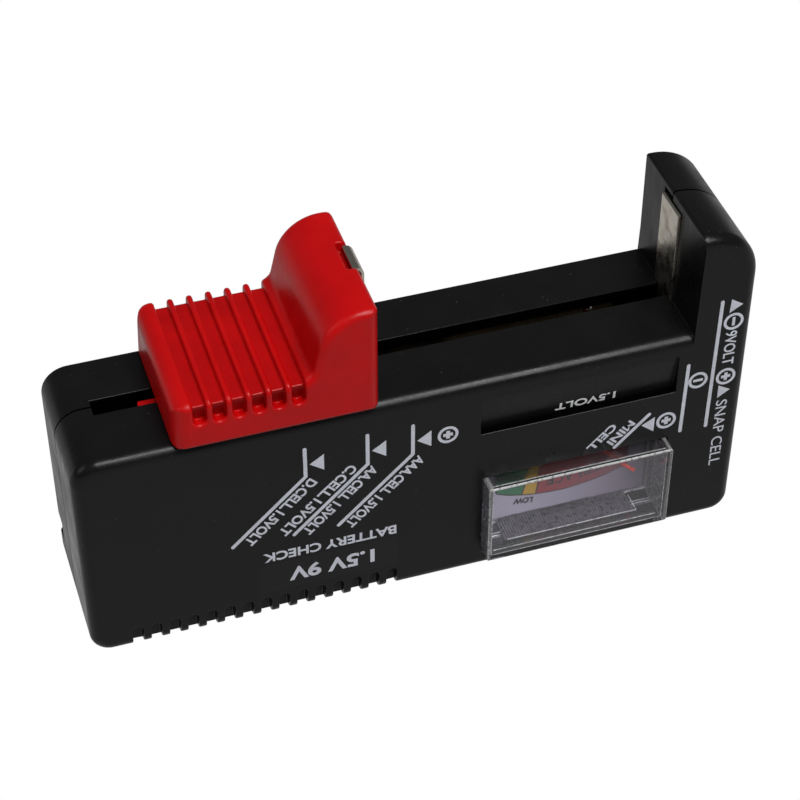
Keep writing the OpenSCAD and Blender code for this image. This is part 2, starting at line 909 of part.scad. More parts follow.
module wire_meter_positive() {
    wire([[terminal_x[0], meter_back + 0.5, terminal_z], [terminal_x[0], lay_y, terminal_z],
        [8, lay_y, 22], [-6, lay_y, 18.6], [-12, lay_y, 17.5], [-12, pad_y, 17.5]],
        1, [0.85, 0.7, 0.1]);
}

module wire_meter_negative() {
    wire([[terminal_x[1], meter_back + 0.5, terminal_z], [terminal_x[1], lay_y, terminal_z],
        [32, lay_y, 18], [8, lay_y, 18], [-6, lay_y, 15.6], [-12.5, lay_y, 14.6],
        [-14, lay_y, 12.5], [-14, pad_y, 12.5]], 1, [0.2, 0.3, 0.7]);
}

front_shell();
back_shell();
case_screws();
slider();
slider_contact();
contact_rail();
fixed_contact();
nine_volt_positive();
nine_volt_negative();
meter_window();
meter_case();
meter_dial();
meter_terminals();
yoke_ring();
core_magnet();
core_spacers();
bearing_bridge();
jewel_bearings();
hairspring_front();
hairspring_rear();
coil_frame();
coil_winding();
pivot_staffs();
needle();
circuit_board();
load_resistor();
series_resistors();
wire_rail();
wire_common();
wire_nine_volt_positive();
wire_nine_volt_negative();
wire_meter_positive();
wire_meter_negative();
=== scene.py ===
"""Looks of the battery tester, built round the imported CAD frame.

Lengths are in millimetres until mm() turns them into metres; X runs along the housing,
-Y is the printed front and Z is up, as in the frame. Angles are in degrees.
"""

import math

import bmesh
import bpy
import numpy as np
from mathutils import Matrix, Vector


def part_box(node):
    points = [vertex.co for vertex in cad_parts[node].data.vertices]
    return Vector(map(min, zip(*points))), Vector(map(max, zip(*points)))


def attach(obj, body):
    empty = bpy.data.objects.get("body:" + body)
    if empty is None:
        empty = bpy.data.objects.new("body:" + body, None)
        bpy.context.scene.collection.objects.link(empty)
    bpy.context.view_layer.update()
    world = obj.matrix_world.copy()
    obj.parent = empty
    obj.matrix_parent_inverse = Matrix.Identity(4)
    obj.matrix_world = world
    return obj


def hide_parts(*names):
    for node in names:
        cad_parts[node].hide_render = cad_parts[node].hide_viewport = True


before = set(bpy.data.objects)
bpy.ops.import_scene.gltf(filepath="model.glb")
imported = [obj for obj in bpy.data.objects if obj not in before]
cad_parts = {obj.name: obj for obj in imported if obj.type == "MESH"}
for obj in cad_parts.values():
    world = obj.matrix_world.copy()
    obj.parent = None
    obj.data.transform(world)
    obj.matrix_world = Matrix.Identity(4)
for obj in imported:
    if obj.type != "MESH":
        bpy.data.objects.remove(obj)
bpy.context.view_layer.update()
MM = 0.001


def mm(*values):
    return Vector(values) * MM


def placed(name, data):
    """A new object in the scene."""
    thing = bpy.data.objects.new(name, data)
    bpy.context.scene.collection.objects.link(thing)
    return thing


def limits(node):
    """Lowest and highest corner of a CAD node, in millimetres."""
    low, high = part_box(node)
    return low / MM, high / MM


SHELL_LOW, SHELL_HIGH = limits("front_shell")
FACE_Y = SHELL_LOW.y
SPLIT_Y = SHELL_HIGH.y
WINDOW_LOW, WINDOW_HIGH = limits("meter_window")
DIAL_Y = limits("meter_dial")[0].y
SLIDER_LOW, SLIDER_HIGH = limits("slider")
INK_T = 0.03

# The hood: its hidden flange, its walls, and the fine ribs on its lower wall
HOOD_FLANGE, HOOD_WALL = 1.0, 0.75
RIB_FOOT = WINDOW_LOW.z + HOOD_FLANGE + HOOD_WALL + 0.01
RIB_HEIGHT, RIB_PITCH, RIB_LOW = 0.13, 0.46, 0.03
RIBS_X = (14.6, 37.6)
RIBS_FRONT_Y, RIBS_BACK_Y = (-11.2, -7.72), (-7.68, -6.4)

# The needle's pivot and the round relief that its tip swings over
PIVOT_X, PIVOT_Z, RELIEF_R = 26.25, 22.0, 17.82

# Where the painted shade on the dial begins and where it is full, upwards and to the right
DIAL_SHADE_FROM_Z, DIAL_SHADE_FULL_Z = 11.3, 12.6
DIAL_SHADE_FROM_X, DIAL_SHADE_FULL_X = 19, 41

# Places of the shells that get painted shade, as boxes from corner to corner
RECESS_LEDGE = ((9.6, -11.8, 29.8), (42.9, -10.5, 30.25))
SLOT_WALLS = ((-49.4, -1.15, 36.0), (47.5, 2.75, 40.95))


# ---------------- materials

def linear(r, g, b):
    """Linear colour of an 8-bit display colour."""
    def one(c):
        c /= 255
        return c / 12.92 if c <= 0.04045 else ((c + 0.055) / 1.055) ** 2.4
    return (one(r), one(g), one(b), 1.0)


def scaled(colour, k):
    return tuple(min(1.0, c * k) for c in colour[:3]) + (1.0,)


class Look:
    """A Principled material with helpers for the textures that feed it."""

    def __init__(self, name, colour, roughness, metallic=0.0, specular=0.5):
        self.material = bpy.data.materials.new(name)
        self.material.use_nodes = True
        self.tree = self.material.node_tree
        self.shader = self.tree.nodes["Principled BSDF"]
        self.put("Base Color", colour)
        self.put("Roughness", roughness)
        self.put("Metallic", metallic)
        self.put("Specular IOR Level", specular)
        self.place = self.node("ShaderNodeTexCoord").outputs["Object"]

    def node(self, kind, **settings):
        made = self.tree.nodes.new(kind)
        for key, value in settings.items():
            setattr(made, key, value)
        return made

    def link(self, source, target):
        self.tree.links.new(source, target)

    def feed(self, target, value):
        if isinstance(value, bpy.types.NodeSocket):
            self.link(value, target)
        else:
            target.default_value = value

    def put(self, name, value):
        """Gives one of the shader's inputs a number, a colour or what another node says."""
        self.feed(self.shader.inputs[name], value)

    def noise(self, size, detail=3.0, stretch=(1, 1, 1), shift=0.0):
        """Noise whose features are about size millimetres across."""
        mapping = self.node("ShaderNodeMapping")
        mapping.inputs["Scale"].default_value = stretch
        mapping.inputs["Location"].default_value = (shift, shift, shift)
        self.link(self.place, mapping.inputs["Vector"])
        texture = self.node("ShaderNodeTexNoise")
        texture.inputs["Scale"].default_value = 1 / (size * MM)
        texture.inputs["Detail"].default_value = detail
        self.link(mapping.outputs["Vector"], texture.inputs["Vector"])
        return texture.outputs["Fac"]

    def ramp(self, value, from_low, from_high, to_low, to_high):
        made = self.node("ShaderNodeMapRange")
        self.link(value, made.inputs["Value"])
        for key, number in zip(("From Min", "From Max", "To Min", "To Max"),
                               (from_low, from_high, to_low, to_high)):
            made.inputs[key].default_value = number
        return made.outputs["Result"]

    def maths(self, operation, a, b):
        made = self.node("ShaderNodeMath", operation=operation)
        self.feed(made.inputs[0], a)
        self.feed(made.inputs[1], b)
        return made.outputs["Value"]

    def apart(self, a, b):
        """How far a is from b."""
        return self.maths("ABSOLUTE", self.maths("SUBTRACT", a, b), 0)

    def mixed(self, share, a, b):
        made = self.node("ShaderNodeMix", data_type="RGBA")
        self.feed(made.inputs["Factor"], share)
        self.feed(made.inputs[6], a)
        self.feed(made.inputs[7], b)
        return made.outputs[2]

    def patches(self, size, detail, low, high):
        """Values from low to high, in patches about size millimetres across."""
        return self.ramp(self.noise(size, detail), 0.3, 0.7, low, high)

    def varied(self, share, colour, low, high):
        """The colour, from low to high times as bright where share is 0 to 1."""
        return self.mixed(share, scaled(colour, low), scaled(colour, high))

    def surface(self, share, first, second):
        """Makes the material a mix of two shaders."""
        mix = self.node("ShaderNodeMixShader")
        self.link(share, mix.inputs["Fac"])
        self.link(first.outputs[0], mix.inputs[1])
        self.link(second.outputs[0], mix.inputs[2])
        self.link(mix.outputs["Shader"], self.tree.nodes["Material Output"].inputs["Surface"])

    def colour(self, value):
        self.put("Base Color", value)

    def roughness(self, value):
        self.put("Roughness", value)

    def bump(self, *layers):
        """Each layer is a height and its depth in millimetres."""
        normal = None
        for height, depth in layers:
            made = self.node("ShaderNodeBump")
            made.inputs["Strength"].default_value = 1.0
            made.inputs["Distance"].default_value = depth * MM
            self.link(height, made.inputs["Height"])
            if normal is not None:
                self.link(normal, made.inputs["Normal"])
            normal = made.outputs["Normal"]
        self.put("Normal", normal)

    def mark(self, name):
        """What the mesh says under a name, 0 where it says nothing."""
        return self.node("ShaderNodeAttribute", attribute_name=name).outputs["Fac"]

    def along(self, axis):
        """Position along an axis in millimetres."""
        split = self.node("ShaderNodeSeparateXYZ")
        self.link(self.place, split.inputs["Vector"])
        return self.maths("MULTIPLY", split.outputs[axis], 1 / MM)


# Heights of the noise where a speck of dust begins and is whole
DUST_FROM, DUST_FULL = 0.865, 0.88
WINDOW_IOR = 1.49


def moulded(name, colour, rough, specular=0.5, grain=0.012, lightening=1.6, specks=0.3, shift=0.0):
    """Injection-moulded plastic: fine grain, soft blotches, scuffed edges, a little lint.
    The mesh says where it is an "edge", and its other mark darkens parting lines and paints shade
    into hollows."""
    look = Look(name, colour, rough, specular=specular)
    blotch = look.noise(7, 4, shift=shift)
    fine = look.noise(0.35, 2, shift=shift)
    scuff = look.noise(1.1, 5, stretch=(1, 1, 0.25), shift=shift)
    edge, seam_and_shade = look.mark("edge"), look.mark("seam_and_shade")
    wear = look.maths("MULTIPLY", edge, look.ramp(scuff, 0.42, 0.7, 0.15, 1))
    base = look.varied(look.ramp(blotch, 0.3, 0.7, 0, 1), colour, 0.9, 1.1)
    base = look.mixed(wear, base, scaled(colour, lightening))
    dust = look.ramp(look.noise(0.42, 0, shift=shift + 3), DUST_FROM, DUST_FULL, 0, specks)
    pale = tuple(0.6 * c + 0.2 for c in colour[:3]) + (1.0,)
    # Dark parting lines and painted shade: the mark darkens the colour and takes the gloss away.
    look.colour(look.mixed(seam_and_shade, look.mixed(dust, base, pale), scaled(colour, 0.1)))
    look.put("Specular IOR Level", look.ramp(seam_and_shade, 0, 1, specular, 0.02))
    uneven = look.ramp(blotch, 0.3, 0.7, rough - 0.05, rough + 0.08)
    look.roughness(look.maths("ADD", uneven, look.ramp(scuff, 0.4, 0.75, 0, 0.07)))
    look.bump((look.noise(9, 2, shift=shift), 0.05), (fine, grain))
    return look.material


def plated(name, colour, rough, brushed=(1, 1, 1), tarnish=0.45):
    """Plated or rolled metal with brushing lines and a little tarnish."""
    look = Look(name, colour, rough, metallic=1.0)
    lines = look.noise(0.16, 4, stretch=brushed)
    stain = look.noise(2.6, 6, shift=1.7)
    spots = look.ramp(stain, 0.5, 0.72, 0, tarnish)
    dull = (colour[0] * 0.42, colour[1] * 0.36, colour[2] * 0.28, 1.0)
    look.colour(look.mixed(spots, colour, dull))
    rougher = look.ramp(stain, 0.4, 0.75, rough - 0.04, rough + 0.2)
    look.roughness(look.maths("ADD", rougher, look.ramp(lines, 0.3, 0.7, -0.05, 0.06)))
    look.bump((lines, 0.004), (look.noise(0.9, 3), 0.012))
    return look.material


def painted(name, colour, rough):
    """Screen-printed ink with thin spots that the black plastic shows through."""
    look = Look(name, colour, rough, specular=0.4)
    thin = look.ramp(look.noise(0.28, 3), 0.6, 0.78, 0, 0.5)
    base = look.varied(look.patches(1.8, 3, 0, 1), colour, 0.92, 1.05)
    look.colour(look.mixed(thin, base, (0.03, 0.03, 0.03, 1)))
    look.roughness(look.patches(0.6, 2, rough - 0.06, rough + 0.1))
    look.bump((look.noise(0.2, 2), 0.006))
    return look.material


def dial_print(name, colour):
    """Dial paper, ink or meter plastic, with painted shade towards the top and the right."""
    look = Look(name, colour, 0.6, specular=0.3)
    fibres = look.noise(0.25, 4, stretch=(1, 1, 0.4))
    base = look.varied(look.ramp(fibres, 0.3, 0.7, 0, 1), colour, 0.95, 1.03)
    # Painted shade: darker towards the right, and darker still towards the top.
    base = look.mixed(look.ramp(look.along("X"), DIAL_SHADE_FROM_X, DIAL_SHADE_FULL_X, 0, 0.85), base,
                      (0.13, 0.1, 0.135, 1))
    painted_shade = look.ramp(look.along("Z"), DIAL_SHADE_FROM_Z, DIAL_SHADE_FULL_Z, 0, 0.88)
    look.colour(look.mixed(painted_shade, base, scaled(colour, 0.12)))
    look.roughness(look.ramp(fibres, 0.3, 0.7, 0.5, 0.7))
    look.bump((fibres, 0.004))
    return look.material


def needle_paint(name, colour):
    """Needle paint, with painted shade further up, as on the dial."""
    look = Look(name, colour, 0.4, specular=0.4)
    base = look.varied(look.patches(0.5, 3, 0, 1), colour, 0.9, 1.08)
    # Painted shade: darker towards the top.
    painted_shade = look.ramp(look.along("Z"), DIAL_SHADE_FROM_Z, DIAL_SHADE_FULL_Z, 0, 0.85)
    look.colour(look.mixed(painted_shade, base, scaled(colour, 0.15)))
    look.roughness(look.patches(0.6, 2, 0.34, 0.5))
    look.bump((look.noise(0.2, 2), 0.004))
    return look.material


def clear(name, tint, rough=0.03, scratches=0.1):
    """Clear plastic that lets light through to what it covers."""
    look = Look(name, tint, rough)
    look.put("Transmission Weight", 1.0)
    look.put("IOR", WINDOW_IOR)
    hair = look.noise(0.3, 3, stretch=(1, 1, 0.05))
    haze = look.ramp(hair, 0.62, 0.8, rough, rough + scratches)
    look.roughness(look.maths("ADD", haze, look.ramp(look.noise(5, 3), 0.4, 0.7, 0, 0.03)))
    look.bump((look.noise(6, 2), 0.03), (look.noise(0.8, 2), 0.0015))
    through = look.node("ShaderNodeBsdfTransparent")
    through.inputs["Color"].default_value = scaled(tint, 0.97)
    look.surface(look.node("ShaderNodeLightPath").outputs["Is Shadow Ray"], look.shader, through)
    return look


def clear_hood(name, tint, end_w, end_colour, lost, **settings):
    """Clear plastic that turns grey and scatters over the hood's two ends, as wide as end_w:
    painted light standing in for the end walls seen lit through it.
    """
    look = clear(name, tint, **settings)
    half = (WINDOW_HIGH.x - WINDOW_LOW.x) / 2 - HOOD_FLANGE
    middle = (WINDOW_HIGH.x + WINDOW_LOW.x) / 2
    apart = look.apart(look.along("X"), middle)
    ends = look.ramp(apart, half - end_w - 0.06, half - end_w, 0, 1)
    uneven = look.maths("MULTIPLY", ends, look.patches(0.9, 3, 0.5, 1))
    # Painted light: the ends turn grey and less clear.
    look.colour(look.mixed(uneven, tint, end_colour))
    look.put("Transmission Weight", look.ramp(uneven, 0, 1, 1, 1 - lost))
    return look.material


def frosted(name, colour, least=0.15, most=0.6):
    """Scattering plastic for the hood's rounded edges and ends, in a colour that is painted light
    standing in for the lines that refraction and reflection draw there.
    """
    look = Look(name, colour, 0.25)
    look.put("IOR", WINDOW_IOR)
    rub = look.noise(0.7, 4)
    look.put("Transmission Weight", look.ramp(rub, 0.3, 0.7, least, most))
    look.roughness(look.ramp(rub, 0.3, 0.7, 0.4, 0.2))
    look.bump((look.noise(0.4, 2), 0.01))
    return look.material


def ribbed(name, valley, crest):
    """Clear ribs with a painted highlight along their tops."""
    look = Look(name, valley, 0.3)
    # Painted highlight: the colour lightens towards the ribs' tops, unevenly.
    rise = look.ramp(look.along("Z"), RIB_FOOT + 0.04, RIB_FOOT + RIB_HEIGHT, 0, 1)
    lightening = look.maths("MULTIPLY", rise, look.ramp(look.noise(1.6, 3), 0.35, 0.65, 0.25, 1))
    look.colour(look.mixed(lightening, valley, crest))
    look.roughness(look.patches(0.8, 3, 0.22, 0.4))
    look.bump((look.noise(0.5, 2), 0.01))
    return look.material


def winding(name, colour, pitch):
    """Enamelled wire in close turns, with painted shade between the turns and painted highlight on
    them.
    """
    look = Look(name, colour, 0.28, metallic=0.9)
    turns = look.maths("SINE", look.maths("MULTIPLY", look.along("Z"), 2 * math.pi / pitch), 0)
    # Painted shade and highlight: darker between the turns, lighter on them.
    look.colour(look.varied(look.ramp(turns, -1, 1, 0, 1), colour, 0.6, 1.1))
    look.roughness(look.patches(1, 3, 0.22, 0.4))
    look.bump((turns, 0.02))
    return look.material


def resistor_look(name, body_colour, node, body_l, bands):
    """Lacquered body with colour bands, and tinned leads past its two ends."""
    low, high = limits(node)
    middle = (low.x + high.x) / 2
    look = Look(name, body_colour, 0.35)
    offset = look.maths("SUBTRACT", look.along("X"), middle)
    colour = look.varied(look.patches(1.2, 3, 0, 1), body_colour, 0.9, 1.08)
    for centre, band in bands:
        in_band = look.ramp(look.apart(offset, centre), 0.33, 0.39, 1, 0)
        colour = look.mixed(in_band, colour, band)
    lead = look.ramp(look.maths("ABSOLUTE", offset, 0), body_l / 2 - 0.02, body_l / 2 + 0.02, 0, 1)
    look.colour(look.mixed(lead, colour, linear(196, 194, 188)))
    look.put("Metallic", lead)
    look.roughness(look.patches(0.5, 3, 0.28, 0.42))
    look.bump((look.noise(1.6, 2), 0.03))
    return look.material


def board_sheet(name, colour):
    """Phenolic board with a faint weave."""
    look = Look(name, colour, 0.5)
    weave = look.noise(0.5, 3, stretch=(0.3, 1, 1))
    look.colour(look.varied(look.ramp(weave, 0.3, 0.7, 0, 1), colour, 0.8, 1.12))
    look.roughness(look.ramp(weave, 0.3, 0.7, 0.42, 0.62))
    look.bump((weave, 0.01))
    return look.material


HOUSING_BLACK = linear(20, 20, 20.5)
SLIDER_RED = linear(200, 5, 8)
NICKEL = (0.54, 0.495, 0.42, 1)
BRASS = (0.56, 0.42, 0.19, 1)
# Brass given a dark colour, for the rail deep in the slot.
DARK_BRASS = (0.2, 0.15, 0.08, 1)

LOOKS = {
    "front": moulded("housing_front", HOUSING_BLACK, 0.27, 0.18, shift=0.0),
    "back": moulded("housing_back", HOUSING_BLACK, 0.3, 0.18, shift=5.0),
    "insert": moulded("label_insert", scaled(HOUSING_BLACK, 0.8), 0.3, 0.22, shift=2.0),
    "red": moulded("slider_red", SLIDER_RED, 0.32, 0.22, grain=0.006, lightening=1.15, specks=0.1),
    "nickel": plated("nickel_strip", NICKEL, 0.27, brushed=(1, 1, 0.06)),
    "pad": plated("nickel_pad", NICKEL, 0.22, brushed=(1, 0.06, 1)),
    "rail": plated("brass_rail", DARK_BRASS, 0.4, brushed=(0.05, 1, 1), tarnish=0.8),
    "brass": plated("brass_parts", BRASS, 0.25, tarnish=0.2),
    "steel": plated("zinc_steel", (0.62, 0.62, 0.63, 1), 0.3, tarnish=0.2),
    "iron": plated("soft_iron", (0.33, 0.34, 0.35, 1), 0.42, brushed=(1, 0.1, 1)),
    "magnet": plated("sintered_magnet", (0.2, 0.2, 0.21, 1), 0.5),
    "aluminium": plated("coil_former", (0.78, 0.78, 0.79, 1), 0.3, brushed=(1, 0.1, 1)),
    "spring": plated("spring_bronze", (0.6, 0.4, 0.2, 1), 0.28, tarnish=0.1),
    "copper": winding("coil_wire", (0.62, 0.26, 0.12, 1), 0.09),
    "clear": clear_hood("window_clear", (0.93, 0.92, 0.955, 1), 0.55, (0.3, 0.3, 0.3, 1), 0.45),
    "smoked": clear_hood("window_top", (0.62, 0.61, 0.62, 1), 0.75, (0.3, 0.29, 0.265, 1), 0.7,
                         rough=0.14, scratches=0.15),
    # The hood's edges and ends: colours of painted light.
    "frosted": frosted("window_edges", (0.62, 0.63, 0.62, 1)),
    "side": frosted("window_sides", (0.2, 0.2, 0.205, 1), 0.3, 0.6),
    "ribbed": ribbed("window_ribs", (0.032, 0.03, 0.037, 1), (0.125, 0.12, 0.14, 1)),
    "case": dial_print("meter_case_grey", linear(106, 98, 108)),
    "paper": dial_print("dial_paper", linear(186, 181, 196)),
    "ink": painted("print_ink", linear(226, 228, 238), 0.5),
    "white_ink": painted("print_white", linear(250, 251, 255), 0.5),
    "dial_black": dial_print("dial_black", linear(28, 26, 30)),
    "dial_red": dial_print("dial_red", linear(160, 36, 42)),
    "dial_yellow": dial_print("dial_yellow", linear(204, 162, 22)),
    "dial_green": dial_print("dial_green", linear(34, 118, 72)),
    "orange": needle_paint("needle_orange", linear(236, 60, 30)),
    "ruby": moulded("jewel_ruby", (0.45, 0.01, 0.05, 1), 0.12, specks=0),
    "board": board_sheet("board_phenolic", linear(170, 120, 66)),
    "load": resistor_look("load_lacquer", linear(198, 172, 128), "load_resistor", 9,
                          [(-3, linear(90, 50, 20)), (-1.4, linear(20, 20, 20)),
                           (0.2, linear(20, 20, 20)), (2.8, linear(190, 150, 50))]),
    "series": resistor_look("series_lacquer", linear(112, 160, 190), "series_resistors", 6.4,
                            [(-2.2, linear(190, 30, 30)), (-1.1, linear(20, 20, 20)),
                             (0, linear(220, 120, 30)), (2.1, linear(150, 80, 30))]),
    "wire_red": moulded("wire_red", linear(190, 26, 26), 0.4, specks=0),
    "wire_black": moulded("wire_black", linear(28, 28, 28), 0.4, specks=0),
    "wire_yellow": moulded("wire_yellow", linear(214, 178, 40), 0.4, specks=0),
    "wire_blue": moulded("wire_blue", linear(44, 66, 170), 0.4, specks=0),
    "solder": plated("solder_tin", (0.74, 0.74, 0.75, 1), 0.2, tarnish=0.15),
}


# ---------------- mesh tools

WELD, CLOSE_WELD = 0.002 * MM, 0.004 * MM
SHARP_ANGLE = math.radians(30)
RIM_DEPTH, TOP_DEPTH, END_DEPTH = 0.5 * MM, 1.2 * MM, 1.3 * MM
SHELL_EDGE, HOOD_EDGE, SCREW_EDGE, PLATE_EDGE, STRIP_EDGE = 0.18, 0.16, 0.08, 0.07, 0.06


def meshed(name, work):
    """Turns a finished bmesh into a mesh."""
    mesh = bpy.data.meshes.new(name)
    work.to_mesh(mesh)
    work.free()
    return mesh


def shown(name, mesh, look, body, slot, *replaced):
    """Links a mesh as a piece that rides on a body."""
    piece = placed(name, mesh)
    mesh.materials.append(LOOKS[look])
    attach(piece, body)
    if replaced:
        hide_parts(*replaced)
    return piece


def clean_copy(node):
    """CAD node as one welded surface with its flat faces whole."""
    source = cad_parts[node].data.copy()
    if "custom_normal" in source.attributes:
        source.attributes.remove(source.attributes["custom_normal"])
    work = bmesh.new()
    work.from_mesh(source)
    bpy.data.meshes.remove(source)
    bmesh.ops.remove_doubles(work, verts=work.verts[:], dist=WELD)
    bmesh.ops.dissolve_limit(work, angle_limit=math.radians(0.5), verts=work.verts[:],
                             edges=work.edges[:], use_dissolve_boundaries=False)
    return work


def shaded(mesh, piece=None, angle=40):
    """Smooth shading with true edges kept sharp and flat faces kept flat."""
    for polygon in mesh.polygons:
        polygon.use_smooth = True
    mesh.set_sharp_from_angle(angle=math.radians(angle))
    if piece is not None:
        even = piece.modifiers.new("even_shading", "WEIGHTED_NORMAL")
        even.keep_sharp = True


def rounded(node, look, slot, edge_r, body="housing", seam_y=None, edge_look=None,
            top_look=None, side_look=None, shade_box=None):
    """The CAD node again, with its sharp edges rounded by edge_r and marked for wear.
    Edges near seam_y are darkened as a parting line and what lies in the shade box gets painted
    shade; edge_look covers the rounded edges with the rim of the front, top_look the upper face
    and side_look the ends."""
    work = clean_copy(node)
    mark = work.faces.layers.float.new("edge")
    seam_and_shade = work.faces.layers.float.new("seam_and_shade")
    low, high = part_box(node)
    sharp = [e for e in work.edges
             if len(e.link_faces) == 2 and e.calc_face_angle(0) > SHARP_ANGLE]
    made = bmesh.ops.bevel(work, geom=sharp, offset=edge_r * MM, offset_type="OFFSET",
                           segments=2, profile=0.5, affect="EDGES", clamp_overlap=False,
                           miter_outer="SHARP")
    for face in made["faces"]:
        face[mark] = 1.0
        if seam_y is not None and abs(face.calc_center_median().y / MM - seam_y) < edge_r:
            face[seam_and_shade] = 1.0
        if edge_look:
            face.material_index = 1
    for face in work.faces:
        at = face.calc_center_median()
        if edge_look and at.y < low.y + RIM_DEPTH and max(map(abs, face.normal)) < 0.985:
            face.material_index = 1
        if top_look and face.normal.z > 0.95 and at.z > high.z - TOP_DEPTH:
            face.material_index = 2
        if side_look and abs(face.normal.x) > 0.95 and at.y < (FACE_Y + 1.5) * MM:
            if min(at.x - low.x, high.x - at.x) < END_DEPTH:
                face.material_index = 3
        # Faces in the shade box get painted shade.
        if shade_box and all(shade_box[0][i] < at[i] / MM < shade_box[1][i] for i in range(3)):
            face[seam_and_shade] = 1.0
    for v in work.verts:
        v.co = [min(max(v.co[i], low[i]), high[i]) for i in range(3)]
    bmesh.ops.remove_doubles(work, verts=work.verts[:], dist=CLOSE_WELD)
    mesh = meshed(node + "_surface", work)
    piece = shown(node + "_surface", mesh, look, body, slot, node)
    for extra in (edge_look, top_look, side_look):
        if extra:
            mesh.materials.append(LOOKS[extra])
    shaded(mesh, piece)
    return piece


def finish_node(node, look):
    """Gives a CAD node that stays as it is its material."""
    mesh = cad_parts[node].data
    mesh.materials.clear()
    mesh.materials.append(LOOKS[look])


def softened(node, look):
    """A wire's plain tube, made round."""
    mesh = meshed(node + "_sleeve", clean_copy(node))
    piece = shown(node + "_sleeve", mesh, look, "housing", look, node)
    shaded(mesh, angle=60)
    round_off = piece.modifiers.new("round_off", "SUBSURF")
    round_off.levels = round_off.render_levels = 1


# ---------------- flat printing

class Sheet:
    """A plane that thin shapes are laid on: an origin and its two directions."""

    def __init__(self, origin, right, up):
        self.origin = Vector(origin)
        self.right = Vector(right).normalized()
        self.up = Vector(up).normalized()
        self.out = self.right.cross(self.up)

    def at(self, x, y, lift):
        return (self.origin + x * self.right + y * self.up + lift * self.out) * MM


def prism(work, sheet, outline, hole=None, thick=INK_T):
    """Adds a thin solid with the given outline, in sheet millimetres. A hole has as many
    points as the outline."""
    top = [work.verts.new(sheet.at(x, y, thick)) for x, y in outline]
    low = [work.verts.new(sheet.at(x, y, -thick / 3)) for x, y in outline]
    n = len(outline)
    for i in range(n):
        j = (i + 1) % n
        work.faces.new((low[i], low[j], top[j], top[i]))
    if not hole:
        work.faces.new(top)
        work.faces.new(low[::-1])
        return
    top_in = [work.verts.new(sheet.at(x, y, thick)) for x, y in hole]
    low_in = [work.verts.new(sheet.at(x, y, -thick / 3)) for x, y in hole]
    for i in range(n):
        j = (i + 1) % n
        work.faces.new((top[i], top[j], top_in[j], top_in[i]))
        work.faces.new((low[j], low[i], low_in[i], low_in[j]))
        work.faces.new((low_in[j], low_in[i], top_in[i], top_in[j]))


def arc(cx, cy, r, start, end, steps):
    """Points on a circle, from one angle to another."""
    angles = [math.radians(start + (end - start) * i / steps) for i in range(steps + 1)]
    return [(cx + r * math.cos(a), cy + r * math.sin(a)) for a in angles]


def stroke_outline(points, width):
    """Outline of a line of the given width with round ends and mitred corners."""
    path = [Vector(p) for p in points]
    half = width / 2
    right, left = [], []
    for before, p, after in zip(path, path[1:], path[2:]):
        going = (after - p).normalized()
        mean = ((p - before).normalized() + going).normalized()
        side = Vector((-mean.y, mean.x)) * (half / max(0.5, mean.dot(going)))
        right.append(tuple(p - side))
        left.append(tuple(p + side))
    caps = []
    for tip, inner in ((path[-1], path[-2]), (path[0], path[1])):
        away = tip - inner
        turn = math.degrees(math.atan2(away.y, away.x))
        caps.append(arc(tip.x, tip.y, half, turn - 90, turn + 90, 8))
    return right + caps[0] + left[::-1] + caps[1]


def add_line(work, points):
    prism(work, FACE, stroke_outline(points, LINE_W))


def add_ring(work, cx, cy, r, width):
    prism(work, FACE, arc(cx, cy, r, 0, 360, 40)[:-1],
          hole=arc(cx, cy, r - width, 0, 360, 40)[:-1])


def add_plus(work, cx, cy, size, width):
    a, b = size / 2, width / 2
    prism(work, FACE, [(cx + x, cy + y) for x, y in (
        (a, -b), (a, b), (b, b), (b, a), (-b, a), (-b, b),
        (-a, b), (-a, -b), (-b, -b), (-b, -a), (b, -a), (b, -b))])


def add_minus(work, cx, cy, wide, tall):
    a, b = wide / 2, tall / 2
    prism(work, FACE, [(cx - a, cy - b), (cx + a, cy - b), (cx + a, cy + b), (cx - a, cy + b)])


def glyph_mesh(text, bold):
    """Flat mesh of the letters, one unit tall, their strokes thickened by bold."""
    curve = bpy.data.curves.new("lettering", "FONT")
    curve.body = text
    curve.size = 1.0
    curve.offset = bold
    curve.resolution_u = 5
    carrier = placed("lettering", curve)
    bpy.context.view_layer.update()
    graph = bpy.context.evaluated_depsgraph_get()
    mesh = bpy.data.meshes.new_from_object(carrier.evaluated_get(graph))
    bpy.data.objects.remove(carrier)
    bpy.data.curves.remove(curve)
    return mesh


